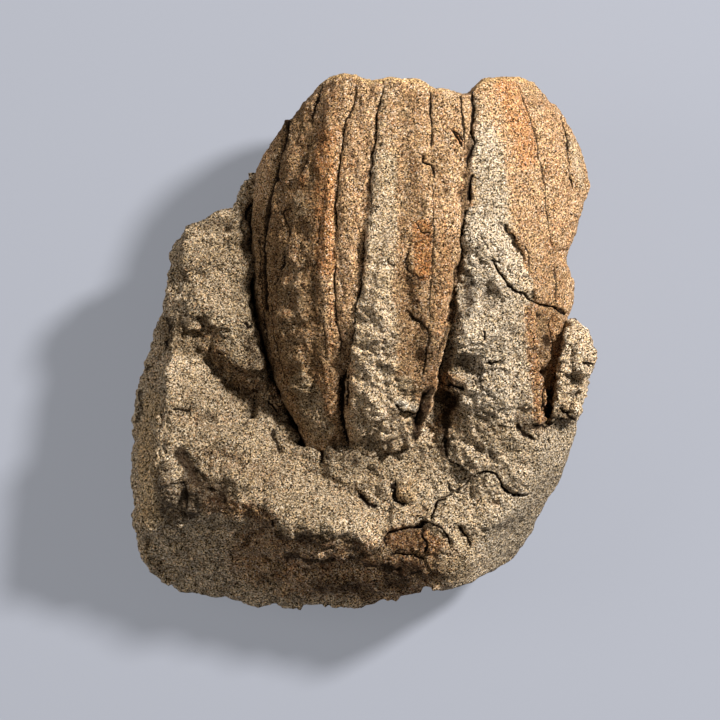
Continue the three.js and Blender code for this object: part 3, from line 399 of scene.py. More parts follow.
MATRIX_RIDGES = {
    "rounded edge of the knob": (-0.5, 0.8, [(24.7, 1.8), (24.4, -2), (24, -6)]),
    "shoulder beside the fruit": (0.9, 1.3, [(-13.6, 17.5), (-14, 13), (-13.9, 9), (-13.6, 5)]),
    "shelf above the lower pit": (0.4, 0.7, [(9.2, -3.4), (10.6, -4), (12.4, -4.3)]),
    "lip of the scallop": (0.15, 0.8, [(-22, -0.6), (-20, -2.3), (-18.6, -3.6), (-16.6, -5.4)]),
    "filling of the scallop": (0.85, 1.7, [(-17.6, 0.4), (-16, -2), (-14.4, -3.6)]),
    "scallop valley": (-0.25, 0.6, [(-20.6, 0.2), (-19.4, -1.3), (-18, -2.6), (-16, -4.7)]),
    "lit lip of the ledge": (0.2, 0.6, [(-21.8, 2.1), (-20.4, 1.6), (-19, 1.7)]),
    "shoulder, first swell": (0.5, 1.1, [(-20, 5.4), (-17.6, 4.6), (-14.6, 3.2)]),
    "shoulder, hollow": (-0.6, 1.3, [(-18.4, 7.6), (-16.6, 6.9), (-14.2, 6.8)]),
    "shoulder, second swell": (0.5, 1.2, [(-20, 9), (-17.6, 9.6), (-14.2, 10.2)]),
    "shoulder, upper hollow": (-0.25, 1.0, [(-20.4, 11), (-17.4, 11.2), (-14.4, 11.8)]),
    "rim of the top": (0.3, 0.7, [(-20, 13.2), (-17, 12.9), (-14.4, 12.8)]),
    "slope, first hollow": (-0.8, 1.0, FIRST_HOLLOW),
    "slope, first swell": (0.7, 1.1, [(-21.6, -6.6), (-18, -6.6), (-14, -7.8)]),
    "slope, second swell": (0.7, 1.2, [(-20, -10.8), (-16, -11), (-12, -12.8)]),
    "slope, second hollow": (-0.8, 0.9, SECOND_HOLLOW),
    "slope, long crest": (0.8, 1.2, [(-13, -15.4), (-8.6, -17), (-4, -19.6), (0, -21.4)]),
    "slope, long hollow": (-0.8, 1.0, [*LONG_HOLLOW, (2.6, -20)]),
    "groove by the flank": (-0.35, 0.5, [*FOOT_OF_SLOPE, (-8, -14)]),
    "filling under the foot of the rib": (0.9, 0.9, [(-2, -12.8), (1, -13.6), (4.4, -12.8)]),
    "ridge by the nodule": (0.35, 0.4, [(1.8, -17.4), (3, -16.8), (4, -16.4)]),
    "lower edge of the slope": (1.3, 1.8, [(-12.4, -18.6), (-8.4, -20.2), (-4.4, -21.8)]),
    "lit rim of the slope": (0.4, 0.7, [(-9.4, -20.4), (-4.6, -21.2), (0, -22.4), (2.4, -23.8)]),
    "groove under the rim": (-0.4, 0.6, [(-9.6, -22.2), (-5, -22.9), (-1, -23.7), (1.6, -24.9)]),
    "first ridge of the underside": (0.8, 0.8, [(-8, -24), (-4, -24.6), (0.6, -25.4), (5, -26)]),
    "long hollow of the underside": (-0.9, 0.8, [(-5, -26.2), (-1, -26.6), (4.4, -26.8)]),
    "second ridge of the underside": (0.8, 0.9, [(-6, -28), (-1, -28.2), (4, -28)]),
    "lower hollow of the underside": (-0.8, 1.2, [(-4, -29.8), (-0.6, -29.6), (2.6, -29.4)]),
    "edge of the crust, high": (0.5, 0.6, [(16.6, 13.8), (18, 12), (18.8, 10.6)]),
    "crust, upper diagonal": (0.35, 0.6, [(13, 12.2), (14.6, 10.4), (15.2, 8.6)]),
    "crust, second diagonal": (0.35, 0.6, [(15.2, 12.6), (16.6, 10.9), (17.6, 9.2)]),
    "crust, diagonal groove": (-0.35, 0.4, [(14.4, 12.6), (15.6, 10.9), (16.2, 9.4)]),
    "toe, diagonal": (0.35, 0.9, [(12, -17.4), (15, -17.6), (17.6, -19.2)]),
    "toe, hollow band": (-0.35, 0.9, [(12, -12.4), (14.4, -13.2), (16.6, -14.8)]),
}

MATRIX_LUMPS = {
    "nodule": (5, -17.3, 1.5, 0.8),
    "nodule's lit shoulder": (5.6, -16.5, 0.8, 0.3),
    "lit bump by the gap": (-13.4, 10.2, 0.8, 0.4),
    "lump by the gap": (-13.5, 3.1, 0.6, 0.35),
    "dark spot by the gap": (-13.5, 7.4, 0.8, -0.4),
    "boss under the tip": (-3.7, -12.9, 0.7, 0.6),
    "pocket under the tip": (-2.9, -13.2, 0.5, -0.6),
    "hollow left of the nodule": (0.9, -15.4, 0.8, -0.6),
    "bump left of the nodule": (2.2, -15.4, 0.8, 0.4),
    "hollow above the nodule": (6.4, -14.6, 1.0, -0.3),
    "hollow right of the tip": (6.8, -13, 0.9, -0.4),
    "hollow on the toe": (11.6, -11.4, 0.8, -0.5),
    "toe pit, upper": (13.6, -12.4, 0.6, -0.6),
    "toe pit, middle": (15.4, -13.2, 0.6, -0.5),
    "toe pit, by the crack": (16.5, -15.2, 0.7, -0.6),
    "toe bump": (18, -11.3, 0.9, 0.5),
    "toe bump, low": (14.6, -16.1, 0.9, 0.4),
    "toe bump, right": (18.2, -15.6, 1.0, 0.35),
    "toe pit, low": (10.4, -17, 0.4, -0.5),
    "grey hollow in the toe": (9.2, -19.3, 0.7, -0.4),
    "fragment's left block": (4.8, -23, 1.0, 0.35),
    "fragment's right block": (8.8, -23.6, 1.1, 0.35),
    "knob boss": (26, -3.1, 0.8, 0.5),
    "knob pit one": (25, -4.4, 0.7, -0.9),
    "knob pit two": (25.5, -6.3, 0.55, -0.8),
    "knob pit three": (24.4, -8.3, 0.5, -0.6),
    "knob bump": (24.8, -5.6, 0.5, 0.4),
    "knob bump, low": (24.9, -7.3, 0.5, 0.4),
    "upper pit": (12.2, -2.8, 1.1, -0.8),
    "lower pit": (10, -6.8, 0.9, -0.8),
    "beside the lower pit": (12, -6.8, 1.0, 0.6),
    "under the lower pit": (9.8, -9.4, 0.6, -0.5),
    "crust hollow": (14.8, 5.5, 0.9, -0.8),
    "crust hollow by the main crack": (12.7, 6.6, 1.0, -0.7),
    "crust pit, right": (17.7, 1, 0.4, -0.5),
    "crust pit, dash": (15, 1.6, 0.4, -0.5),
    "crust pit, lowest": (18.8, -8.8, 0.8, -0.4),
    "crust groove": (12.6, 7.6, 0.5, -0.5),
    "crust bump": (12.6, 9.6, 0.7, 0.4),
    "crust swelling": (15.6, 0.8, 2.0, 0.4),
    "crust bump, left": (12.4, 0.9, 0.8, 0.4),
    "crust bump, low left": (11.8, -1, 0.7, 0.3),
    "crust swelling, low": (16.4, -6, 1.8, 0.4),
    "spot on the break": (18.9, -21.3, 0.35, -0.3),
    "scallop pit": (-15.1, -5.3, 0.7, -0.4),
    "shoulder pit": (-17.3, 14.6, 0.9, -0.8),
    "second shoulder pit": (-16.4, 13.9, 0.6, -0.4),
    "third shoulder pit": (-14.4, 14.3, 0.4, -0.5),
    "slope dent": (-16.8, -8.4, 0.8, -0.4),
    "second slope dent": (-13.4, -11.2, 0.6, -0.3),
    "groove by the stain": (-20, -15, 0.7, -0.9),
}

MATRIX_STAINS_AND_SHADE = {
    "orange": {
        "reddish fragment": (0.3, 1.8, [(4.6, -23.2), (7, -23), (9, -24.4)]),
        "slab beside it": (0.3, 1.3, [(8.4, -22.6), (10.4, -24.6)]),
        "ochre on the left side": (0.2, 1.3, LEFT_SIDE),
        "ochre on the left side, high": (0.25, 0.9, [(-23.4, 2), (-24.6, -4)]),
        "left of the fragment": (0.3, 0.8, [(5.6, -20), (7.4, -19.6)]),
        "beside the wedge": (0.25, 0.9, [(19.8, 4), (20.2, 0), (20.9, -5), (21.1, -8.4)]),
        "top of the knob": (0.2, 1.2, [(25.4, 1.8), (27, -1)]),
        "shelf": (0.5, 0.7, [(9.6, -4), (11.4, -4.4)]),
        "valley": (0.4, 0.8, [(8.6, -5.6), (9.2, -4.8)]),
        "ledge": (0.4, 0.5, [(20.4, -10), (24.6, -9.6)]),
    },
    "golden_and_highlight": {
        "nodule": (0.3, 1.5, NODULE),
        "left side": (0.35, 1.6, LEFT_SIDE),
    },
    "rind": {
        "nodule": (0.45, 1.4, NODULE),
        "reddish fragment": (0.85, 1.5, [(4, -23), (6.8, -22.8), (8, -23.6)]),
        "beside the wedge": (0.9, 1.0, [(19.8, 4), (20.1, 0), (20.8, -5), (21.1, -8.4)]),
        "knob, low": (0.3, 0.8, [(24.6, -6.2), (24.2, -8.6)]),
        # painted shade: the brown on the underside, in the scallop, in the slope's hollows and in the
        # valley stands in for the shade there
        "underside": (0.6, 4.5, [(-12, -25), (-4, -27), (6, -28)]),
        "left foot": (0.5, 1.4, [(-10, -5), (-9.6, -7)]),
        "scallop": (0.45, 1.6, [(-18.4, 1), (-15.6, -3), (-12.4, -5.6)]),
        "slope, first hollow": (0.3, 1.3, FIRST_HOLLOW),
        "slope, second hollow": (0.35, 1.3, SECOND_HOLLOW),
        "slope, long hollow": (0.3, 1.2, LONG_HOLLOW),
        "end of the slope": (0.6, 1.2, [(-18, -19), (-14, -19.4), (-10.8, -20.4)]),
        "valley": (0.5, 1.4, [(9.8, -4.4), (10.6, -7), (9.8, -9.6)]),
    },
    "grey": {
        "crust": (0.5, 3.2, [(14.6, 13), (15, 4), (15, -6)]),
        "smooth break": (0.6, 3.0, [(23.4, -12), (22, -17), (17, -23)]),
        "toe": (0.25, 3.0, [(12, -15), (18, -14)]),
    },
    # dark stains, and painted shade: the scallop's valley and crescent, the ledges, the recess, the pits
    # and hollows of the crust, toe, knob and underside, and the place under the rib's foot are darkened for
    # the shade there
    "dark_stain_and_shade": {
        "reddish fragment": (0.55, 1.5, [(3.8, -23), (6, -23)]),
        "grey stain, left": (0.6, 1.5, [(-23.4, -15), (-22.6, -20.4)]),
        "grey stain, right": (0.7, 1.7, [(-20.4, -19), (-20, -16), (-18.6, -17.2), (-17, -17.8)]),
        "stained groove": (0.8, 0.8, [(-21.2, -12.8), (-20.4, -14.2), (-19.5, -16)]),
        "end of the slope": (0.3, 1.6, [(-16, -18.8), (-12, -20)]),
        "spot": (0.4, 0.6, [(-12.2, -18.8), (-11.6, -18.6)]),
        "scallop valley": (0.3, 0.45, [(-20.5, 0), (-19.4, -1.3), (-18.2, -2.7), (-16, -4.7)]),
        "scallop crescent": (0.6, 0.3, [(-15.8, -4.9), (-15, -5.6), (-13.6, -5.8), (-12, -5.4)]),
        "shoulder ledge": (0.45, 0.6, [(-21.7, 3.1), (-20.4, 2.9), (-19.1, 3.2)]),
        "recess at the top": (0.5, 0.7, [(-18.8, 14.5), (-17.2, 14.8), (-15.6, 14.3)]),
        "corner by the gap": (0.5, 0.9, [(-13.3, 0.4), (-12.7, -1.6), (-12.5, -3.2)]),
        "under the rib's foot": (0.5, 0.9, [(-4, -12.8), (-1, -13.3), (2, -13), (3.6, -12.4)]),
        # painted shade: the black hollow in the valley and its two arms
        "painted shade in the valley's hollow": (0.9, 0.6, [(6.2, -8.2), (6.5, -10.4)]),
        "right arm of the painted shade in the valley": (0.8, 0.4, [(8.1, -5.6), (6.6, -8.2)]),
        "left arm of the painted shade in the valley": (0.8, 0.4, [(3.6, -7.7), (4.8, -8.6), (6, -8.8)]),
        "upper pit": (0.35, 0.9, [(11.4, -1.6), (12, -2.8), (13.2, -3.5)]),
        "lower pit": (0.7, 0.9, [(9.2, -6.2), (10.2, -7), (11, -6.6)]),
        "below the lower pit": (0.7, 0.55, [(10, -8), (9.8, -9.6), (9.8, -11), (9.7, -13)]),
        "crust hollow": (0.45, 0.7, [(14.4, 6.4), (15, 4.6)]),
        "crust hollow by the main crack": (0.55, 0.9, [(12.2, 8.2), (12.8, 5.4), (12, 3.6)]),
        "beside the main crack": (0.7, 0.6, [(12.2, 6.6), (12.6, 5)]),
        "grey hollow in the toe": (0.4, 0.7, [(9.2, -18.9), (9.1, -19.8)]),
        "toe": (0.35, 0.8, [(12.6, -15), (15.8, -14.9), (16.6, -15.6)]),
        "toe, pits": (0.4, 0.6, [(13.4, -12.4), (15.4, -13.3)]),
        "hollow left of the nodule": (0.35, 0.6, [(0.4, -14.8), (1.2, -16)]),
        "crust, low right": (0.6, 1.0, [(18.4, -9), (19.6, -9.2)]),
        "ledge": (0.75, 0.28, [(19.8, -9.7), (21.4, -9.4), (23.4, -9.1), (25.2, -8.6)]),
        "knob pits": (0.4, 0.5, [(24.8, -4.2), (25.2, -4.7)]),
        "knob, low": (0.5, 0.4, [(25.1, -6.2), (25.7, -6.2)]),
        "knob, lowest": (0.5, 0.7, [(23.4, -7.8), (24.6, -8.6)]),
        "groove under the rim": (0.55, 0.8, [
            (-9.6, -22.2), (-5, -23.2), (-3.2, -24), (-1, -23.9), (1.6, -24.9)]),
        "first hollow of the underside": (0.7, 1.0, [(0.4, -25.8), (3.8, -26.6), (6.4, -26.4)]),
        "lower hollow of the underside": (0.55, 1.5, [(-5, -28.6), (-2, -29.2), (1, -29.2)]),
        "third hollow of the underside": (0.6, 0.9, [(3.2, -28.2), (5, -28.6)]),
        "streak of the underside": (0.7, 0.5, [(-9, -25), (-4, -25.6), (0, -25)]),
    },
    # painted shade, with some duller stone: darkens the strip in the fruit's shadow beside the flank, the
    # scallop, the places under the crust, the tip and the fragment, and broad faces that turn from the key
    # light
    "painted_shade_and_dull_tone": {
        "beside the flank": (0.85, 1.4, [(-15, 12), (-14.6, 7), (-14, 2.6), (-13.2, -2)]),
        "crust, low": (0.3, 3.0, [(16.4, 0), (17, -5)]),
        "under the crust": (0.7, 1.7, [(14.6, -9), (17, -12), (21, -13.6)]),
        "knob, low": (0.2, 1.3, [(25.2, -4.4), (24.6, -7.6)]),
        "under the tip": (0.6, 2.4, [(0, -14.6), (6, -13.4), (9, -15)]),
        "scallop": (0.95, 1.9, [(-22.5, 1.2), (-18.5, -0.4), (-13.5, -1.6)]),
        "crust, upper": (0.4, 2.6, [(16.4, 4), (16.6, 0.6)]),
        "below the fragment": (0.9, 1.6, [(2, -25.2), (7, -26), (11.6, -26.6)]),
        "shoulder": (0.65, 4.6, [(-17, 12), (-17, 6), (-15.6, 0)]),
        "lower slope": (0.65, 6.6, [(-18, -9), (-13, -14), (-6, -17)]),
        "toe": (0.4, 5.0, [(3, -17), (12, -18), (16, -16)]),
        "slab by the fragment": (0.6, 1.4, [(8.6, -22.8), (10.2, -24.4)]),
        "below the fruit": (0.3, 3.0, [(-6, -16), (6, -17)]),
        "right of the fragment": (0.5, 1.5, [(12, -23.6), (14.6, -23), (16.6, -21.6)]),
        "slope by the flank": (0.4, 1.4, [(-13, -7.4), (-12.2, -10), (-8, -13), (-4, -13.8)]),
        "smooth break": (0.65, 3.0, [(23, -11), (22, -17), (17, -24)]),
        "crust": (0.12, 3.4, [(14.6, 12), (14.6, 4), (14, -4)]),
        "valley": (0.65, 1.6, [(10.4, -1), (10.4, -8), (9.8, -12)]),
    },
}

# ------------------------------------------------------------------ noise and lines

CELL_KINDS = 4096  # how many different random cells a pattern has
HASH_FACTORS = (73856093, 19349663, 83492791)
NEIGHBOURS = np.array(list(np.ndindex(3, 3, 3))) - 1  # the cells round a cell, and itself


def hashed(cells):
    """A repeatable number from 0 to below CELL_KINDS for each whole-numbered cell."""
    x, y, z = (cells * HASH_FACTORS).T
    return (x ^ y ^ z) % CELL_KINDS


def in_cells(points, size):
    """The cell that each point lies in, with cells of that size, and where it lies in it."""
    cells = np.floor(points / size).astype(np.int64)
    return cells, points / size - cells


def waves(points, size, seed):
    """Smooth noise, about -1 to 1, with bumps some "size" millimetres across."""
    full_height = 1.7
    slopes = np.random.default_rng(SEED + seed).normal(size=(CELL_KINDS, 3))
    slopes /= np.linalg.norm(slopes, axis=1, keepdims=True)
    cells, inside = in_cells(points, size)
    blend = inside**3 * (inside * (inside * 6 - 15) + 10)
    total = np.zeros(len(points))
    for corner in np.ndindex(2, 2, 2):
        weight = np.prod(np.where(corner, blend, 1 - blend), axis=1)
        slope = slopes[hashed(cells + corner)]
        total += weight * np.einsum("ij,ij->i", slope, inside - corner)
    return full_height * total


def broken(points, size, seed):
    """Rough rock: waves of falling sizes, each a bit over half as high as the one before."""
    falling = 0.58
    return sum(
        falling**octave * waves(points, size / 2**octave, seed + octave) for octave in range(4))


def crumbs(points, size, seed):
    """Rounded crumbs some "size" millimetres across: 1 on top, falling to 0 in the creases."""
    jitter = np.random.default_rng(SEED + seed).random((CELL_KINDS, 3))
    cells, inside = in_cells(points, size)
    nearest = np.full(len(points), np.inf)
    for step in NEIGHBOURS:
        away = step + jitter[hashed(cells + step)] - inside
        nearest = np.minimum(nearest, np.einsum("ij,ij->i", away, away))
    return np.clip(1 - np.sqrt(nearest), 0, 1)


def facets(points, size, seed):
    """Chipped rock, about -1 to 1: tilted faces some "size" millimetres across."""
    crispness, most_lift = 14.0, 0.6
    random = np.random.default_rng(SEED + seed)
    jitter, tilts = random.random((CELL_KINDS, 3)), random.normal(size=(CELL_KINDS, 3))
    lifts = random.uniform(-most_lift, most_lift, CELL_KINDS)
    cells, inside = in_cells(points, size)
    total, weights = np.zeros(len(points)), np.zeros(len(points))
    for step in NEIGHBOURS:
        picked = hashed(cells + step)
        away = inside - step - jitter[picked]
        weight = np.exp(-crispness * np.einsum("ij,ij->i", away, away))
        total += weight * (lifts[picked] + np.einsum("ij,ij->i", tilts[picked], away))
        weights += weight
    return total / weights


def ease(values, low, high):
    """0 below low, 1 above high, smooth between."""
    share = np.clip((values - low) / (high - low), 0, 1)
    return share * share * (3 - 2 * share)


def tapered(share, over, at_ends=0.0):
    """How strong a line is: "at_ends" at both its ends, and 1 from the share "over" inwards."""
    return at_ends + (1 - at_ends) * ease(np.minimum(share, 1 - share), 0, over)


def along(points, line):
    """How far points lie from a broken line seen from above, on which side of it (1 is
    the right, for one who walks it), and how far along it, from 0 to 1."""
    line = np.array(line, float)
    starts, runs = line[:-1], np.diff(line, axis=0)
    lengths = np.hypot(*runs.T)
    distance = np.full(len(points), np.inf)
    side = np.zeros(len(points))
    share = np.zeros(len(points))
    for start, run, length, walked in zip(starts, runs, lengths, np.cumsum(lengths) - lengths):
        offset = points[:, :2] - start
        part = np.clip(offset @ run / length**2, 0, 1)
        gap = np.hypot(*(offset - part[:, None] * run).T)
        nearer = gap < distance
        distance[nearer] = gap[nearer]
        side[nearer] = np.sign(offset[:, 0] * run[1] - offset[:, 1] * run[0])[nearer]
        share[nearer] = ((walked + part * length) / lengths.sum())[nearer]
    return distance, side, share


def beside(points, line, reach):
    """The indices of the points in the box round a line, seen from above and grown by
    reach, and how they lie along the line."""
    low, high = np.min(line, axis=0) - reach, np.max(line, axis=0) + reach
    close = np.flatnonzero(((points[:, :2] > low) & (points[:, :2] < high)).all(axis=1))
    return close, *along(points[close], line)


# ------------------------------------------------------------------ the skin of a stone


class Skin:
    """The skin of one stone: its points in millimetres, its triangles and its stains, painted shade among
    them.
    """

    def __init__(self, node, hidden):
        """A solid remeshed evenly, thinned out where "hidden" finds it out of sight, rid of
        its facets and grown a little."""
        blank = bpy.data.objects.new("blank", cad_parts[node].data.copy())
        bpy.context.scene.collection.objects.link(blank)
        remesh = blank.modifiers.new("even", "REMESH")
        remesh.mode = "VOXEL"
        remesh.voxel_size = VOXEL[node] * MM
        self.take(blank)
        out_of_sight = blank.vertex_groups.new(name="hidden")
        found = np.flatnonzero(hidden(self.points, self.normals()))
        out_of_sight.add(found.tolist(), 1.0, "REPLACE")
        thin = blank.modifiers.new("thin", "DECIMATE")
        thin.ratio = THINNING[node]
        thin.vertex_group = out_of_sight.name
        self.take(blank)
        bpy.data.objects.remove(blank)
        self.stains_and_shade = {}
        self.smooth(FACET_SMOOTHING[node])
        self.points += SWELL * self.normals()

    def take(self, blank):
        """Applies the modifiers of an object and takes over its points and triangles."""
        evaluated = blank.evaluated_get(bpy.context.evaluated_depsgraph_get())
        mesh = bpy.data.meshes.new_from_object(evaluated)
        mesh.calc_loop_triangles()
        self.points = np.empty(len(mesh.vertices) * 3, np.float32)
        mesh.vertices.foreach_get("co", self.points)
        self.points = self.points.reshape(-1, 3).astype(float) / MM
        self.triangles = np.empty(len(mesh.loop_triangles) * 3, np.int32)
        mesh.loop_triangles.foreach_get("vertices", self.triangles)
        self.triangles = self.triangles.reshape(-1, 3)
        blank.modifiers.clear()
        blank.data = mesh

    def normals(self):
        """The way out of the stone at each point."""
        corners = self.points[self.triangles]
        facing = np.cross(corners[:, 1] - corners[:, 0], corners[:, 2] - corners[:, 0])
        total = np.zeros_like(self.points)
        for corner in range(3):
            for axis in range(3):
                total[:, axis] += np.bincount(
                    self.triangles[:, corner], facing[:, axis], len(self.points))
        return total / np.maximum(np.linalg.norm(total, axis=1, keepdims=True), 1e-12)

    def smooth(self, rounds):
        """Draws each point halfway to the middle of its neighbours, round after round. Where
        the skin is thinned out, which its long edges tell, the points stay."""
        ends = np.vstack([self.triangles[:, pair] for pair in ([0, 1], [1, 2], [2, 0])])
        point, neighbour = np.vstack([ends, ends[:, ::-1]]).T
        count = np.bincount(point, minlength=len(self.points))
        length = np.linalg.norm(self.points[point] - self.points[neighbour], axis=1)
        usual_length = np.bincount(point, length, len(self.points)) / count
        share = np.where(usual_length < THINNED_EDGE, 0.5, 0)[:, None]
        for _ in range(rounds):
            middle = np.stack([
                np.bincount(point, self.points[neighbour, axis], len(self.points)) / count
                for axis in range(3)
            ], axis=1)
            self.points += share * (middle - self.points)

    def refine(self, wanted):
        """Halves every edge between two wanted points, and splits the triangles to match."""
        edges = np.sort(self.triangles[:, [[0, 1], [1, 2], [2, 0]]], axis=2)
        split = wanted[edges].all(axis=2)
        halved, index = np.unique(edges[split], axis=0, return_inverse=True)
        middle = np.full(split.shape, -1)
        middle[split] = len(self.points) + index.reshape(-1)
        self.points = np.vstack([self.points, self.points[halved].mean(axis=1)])
        parts = [self.triangles[~split.any(axis=1)]]
        # where all three edges of a triangle are halved, it becomes four
        whole = split.all(axis=1)
        (a, b, c), (ab, bc, ca) = self.triangles[whole].T, middle[whole].T
        parts += [np.stack(t, axis=1) for t in ((a, ab, ca), (ab, b, bc), (ca, bc, c), (ab, bc, ca))]
        # where one is, it becomes two, and where two are, three
        for turn in range(3):
            order = np.roll([0, 1, 2], -turn)
            pattern = split[:, order]
            one = pattern[:, 0] & ~pattern[:, 1] & ~pattern[:, 2]
            (a, b, c), ab = self.triangles[one][:, order].T, middle[one][:, order[0]]
            parts += [np.stack(t, axis=1) for t in ((a, ab, c), (ab, b, c))]
            two = pattern[:, 0] & pattern[:, 1] & ~pattern[:, 2]
            (a, b, c), (ab, bc, _) = self.triangles[two][:, order].T, middle[two][:, order].T
            parts += [np.stack(t, axis=1) for t in ((a, ab, c), (ab, b, bc), (ab, bc, c))]
        self.triangles = np.vstack(parts)

    def near(self, cracks):
        """Which points lie on a crack or close beside it, seen from above."""
        found = np.zeros(len(self.points), bool)
        for _, _, line in cracks.values():
            close, distance, _, _ = beside(self.points, line, FINER_WITHIN)
            found[close] |= distance < FINER_WITHIN
        return found

    def refine_in_view(self, in_view, cracks):
        """Splits the skin finer where it is in view, and once more at its cracks."""
        self.refine(in_view())
        self.refine(in_view() & self.near(cracks))
        self.smooth(1)

    def stain_and_shade(self, name, amount):
        """Adds a stain or painted shade, or deepens the one that is there."""
        self.stains_and_shade[name] = np.maximum(self.stains_and_shade.get(name, 0), amount)

    def piece(self, name, material):
        """The skin as a Blender object, smooth-shaded, with its stains and painted shade as attributes."""
        mesh = bpy.data.meshes.new(name)
        mesh.vertices.add(len(self.points))
        mesh.vertices.foreach_set("co", (self.points * MM).astype(np.float32).ravel())
        mesh.loops.add(self.triangles.size)
        mesh.loops.foreach_set("vertex_index", self.triangles.astype(np.int32).ravel())
        mesh.polygons.add(len(self.triangles))
        mesh.polygons.foreach_set("loop_start", np.arange(0, self.triangles.size, 3, dtype=np.int32))
        mesh.polygons.foreach_set("use_smooth", np.ones(len(self.triangles), bool))
        mesh.update(calc_edges=True)
        mesh.validate()
        for stain_and_shade, amount in self.stains_and_shade.items():
            layer = mesh.attributes.new(stain_and_shade, "FLOAT", "POINT")
            layer.data.foreach_set("value", amount.astype(np.float32))
        mesh.materials.append(material)
        made = bpy.data.objects.new(name, mesh)
        bpy.context.scene.collection.objects.link(made)
        return made


# ------------------------------------------------------------------ marks on a skin


def facing_up(normals):
    """1 where a stone faces up, falling to 0 on its sheer sides."""
    return ease(normals[:, 2], 0.05, 0.35)


def wavering(points):
    """The points, each nudged a little, so that what is drawn by them wavers."""
    def nudge(size, seed):
        return np.stack([waves(points, size, seed + axis) for axis in range(3)], axis=1)
    return points + 0.11 * nudge(size=0.9, seed=40) + 0.12 * nudge(size=3.1, seed=50)


def crack_relief(skin, places, cracks):
    """Cracks: narrow cuts that come and go along their lines. The skin keeps how many half
    widths it is across from the nearest one ("across") and how dark the shade painted into that one is."""
    relief = np.zeros(len(places))
    nearest = np.full(len(places), CRACK_REACH)
    across = np.full(len(places), FAR_ACROSS)
    cut = np.zeros(len(places))
    for depth, half_width, line in cracks.values():
        close, distance, side, share = beside(places, line, max(CRACK_REACH, 4 * half_width))
        open_here = np.clip(0.85 + 0.3 * waves(places[close], size=2.4, seed=60), 0.45, 1.15)
        width = half_width * tapered(share, END_TAPER, at_ends=0.3) * open_here
        deep = depth * open_here * tapered(share, END_TAPER, at_ends=0.4)
        furrow = np.exp(-(distance / np.maximum(1.5 * width, 0.2)) ** 2)
        relief[close] = np.minimum(relief[close], -0.7 * deep * furrow)
        mine = distance < nearest[close]
        picked = close[mine]
        nearest[picked] = distance[mine]
        beyond = (share[mine] <= 0) | (share[mine] >= 1)
        offset = (side * distance / width)[mine]
        across[picked] = np.where(beyond, FAR_ACROSS, np.clip(offset, -FAR_ACROSS, FAR_ACROSS))
        fading = 1 - ease(distance[mine], 0.5 * CRACK_REACH, CRACK_REACH)
        cut[picked] = np.where(beyond, 0, fading * np.clip(0.6 + deep[mine], 0, 1))
    skin.stains_and_shade["across"] = across
    skin.stains_and_shade["cut"] = cut
    return relief


def step_relief(places, steps):
    """Steps: the stone on the right of a line stands higher close to it."""
    relief = np.zeros(len(places))
    for rise, reach, line in steps.values():
        close, distance, side, share = beside(places, line, 3 * reach)
        fading = tapered(share, END_TAPER)
        edge = ease(side * distance, -0.1, 0.35)
        relief[close] += rise * fading * edge * np.exp(-(distance / reach) ** 2)
    return relief


def ridge_relief(places, ridges):
    """Long swellings and grooves, highest in their middle."""
    relief = np.zeros(len(places))
    for height, half_width, line in ridges.values():
        close, distance, _, share = beside(places, line, 3 * half_width)
        fading = tapered(share, over=0.25, at_ends=0.25)
        relief[close] += height * fading * np.exp(-(distance / half_width) ** 2)
    return relief


def lump_relief(places, lumps):
    """Round lumps and pits."""
    relief = np.zeros(len(places))
    for x, y, radius, height in lumps.values():
        away = np.hypot(places[:, 0] - x, places[:, 1] - y) / radius
        relief += height * np.exp(-(away**2))
    return relief


def seam_relief(places):
    """The filling of the closed seams."""
    relief = np.zeros(len(places))
    for line in CLOSED_SEAMS.values():
        close, distance, _, _ = beside(places, line, 3 * SEAM_FILL["half width"])
        fill = SEAM_FILL["height"] * np.exp(-(distance / SEAM_FILL["half width"]) ** 2)
        relief[close] = np.maximum(relief[close], fill)
    return relief


def lay_stains_and_shade(skin, places, stains_and_shade):
    """Stains, painted shade and painted highlights along lines, soft at their edges."""
    for name, strokes in stains_and_shade.items():
        amount = np.zeros(len(places))
        for strength, half_width, line in strokes.values():
            close, distance, _, _ = beside(places, line, 2.2 * half_width)
            soft = strength * (1 - ease(distance, 0.55 * half_width, 1.5 * half_width))
            amount[close] = np.maximum(amount[close], soft)
        skin.stain_and_shade(name, amount)


def lay_marks(skin, cracks, steps, ridges, lumps, stains_and_shade):
    """Lays all that is drawn from above, and returns its relief."""
    up = facing_up(skin.normals())
    places = wavering(skin.points)
    relief = up * crack_relief(skin, places, cracks)
    relief += up * (step_relief(places, steps) + ridge_relief(places, ridges))
    relief += up * (lump_relief(places, lumps) + seam_relief(places))
    lay_stains_and_shade(skin, places, stains_and_shade)
    return relief


def settle(skin, relief):
    """Moves the points out by relief along their normals, and keeps the base on the ground.
    Dark stains with their painted shade, and the shade painted into the cracks, fade out on the sheer
    sides."""
    normals = skin.normals()
    for name in ("cut", "dark_stain_and_shade"):
        skin.stains_and_shade[name] = skin.stains_and_shade[name] * ease(normals[:, 2], 0.05, 0.3)
    # the base has pits only, and shallower ones
    on_base = (normals[:, 2] < -0.7) & (skin.points[:, 2] < 1.2)
    relief = np.where(on_base, np.minimum(relief, 0) * 0.6, relief)
    skin.points += relief[:, None] * normals
    skin.points[:, 2] = np.maximum(skin.points[:, 2], 0)


# ------------------------------------------------------------------ the two stones


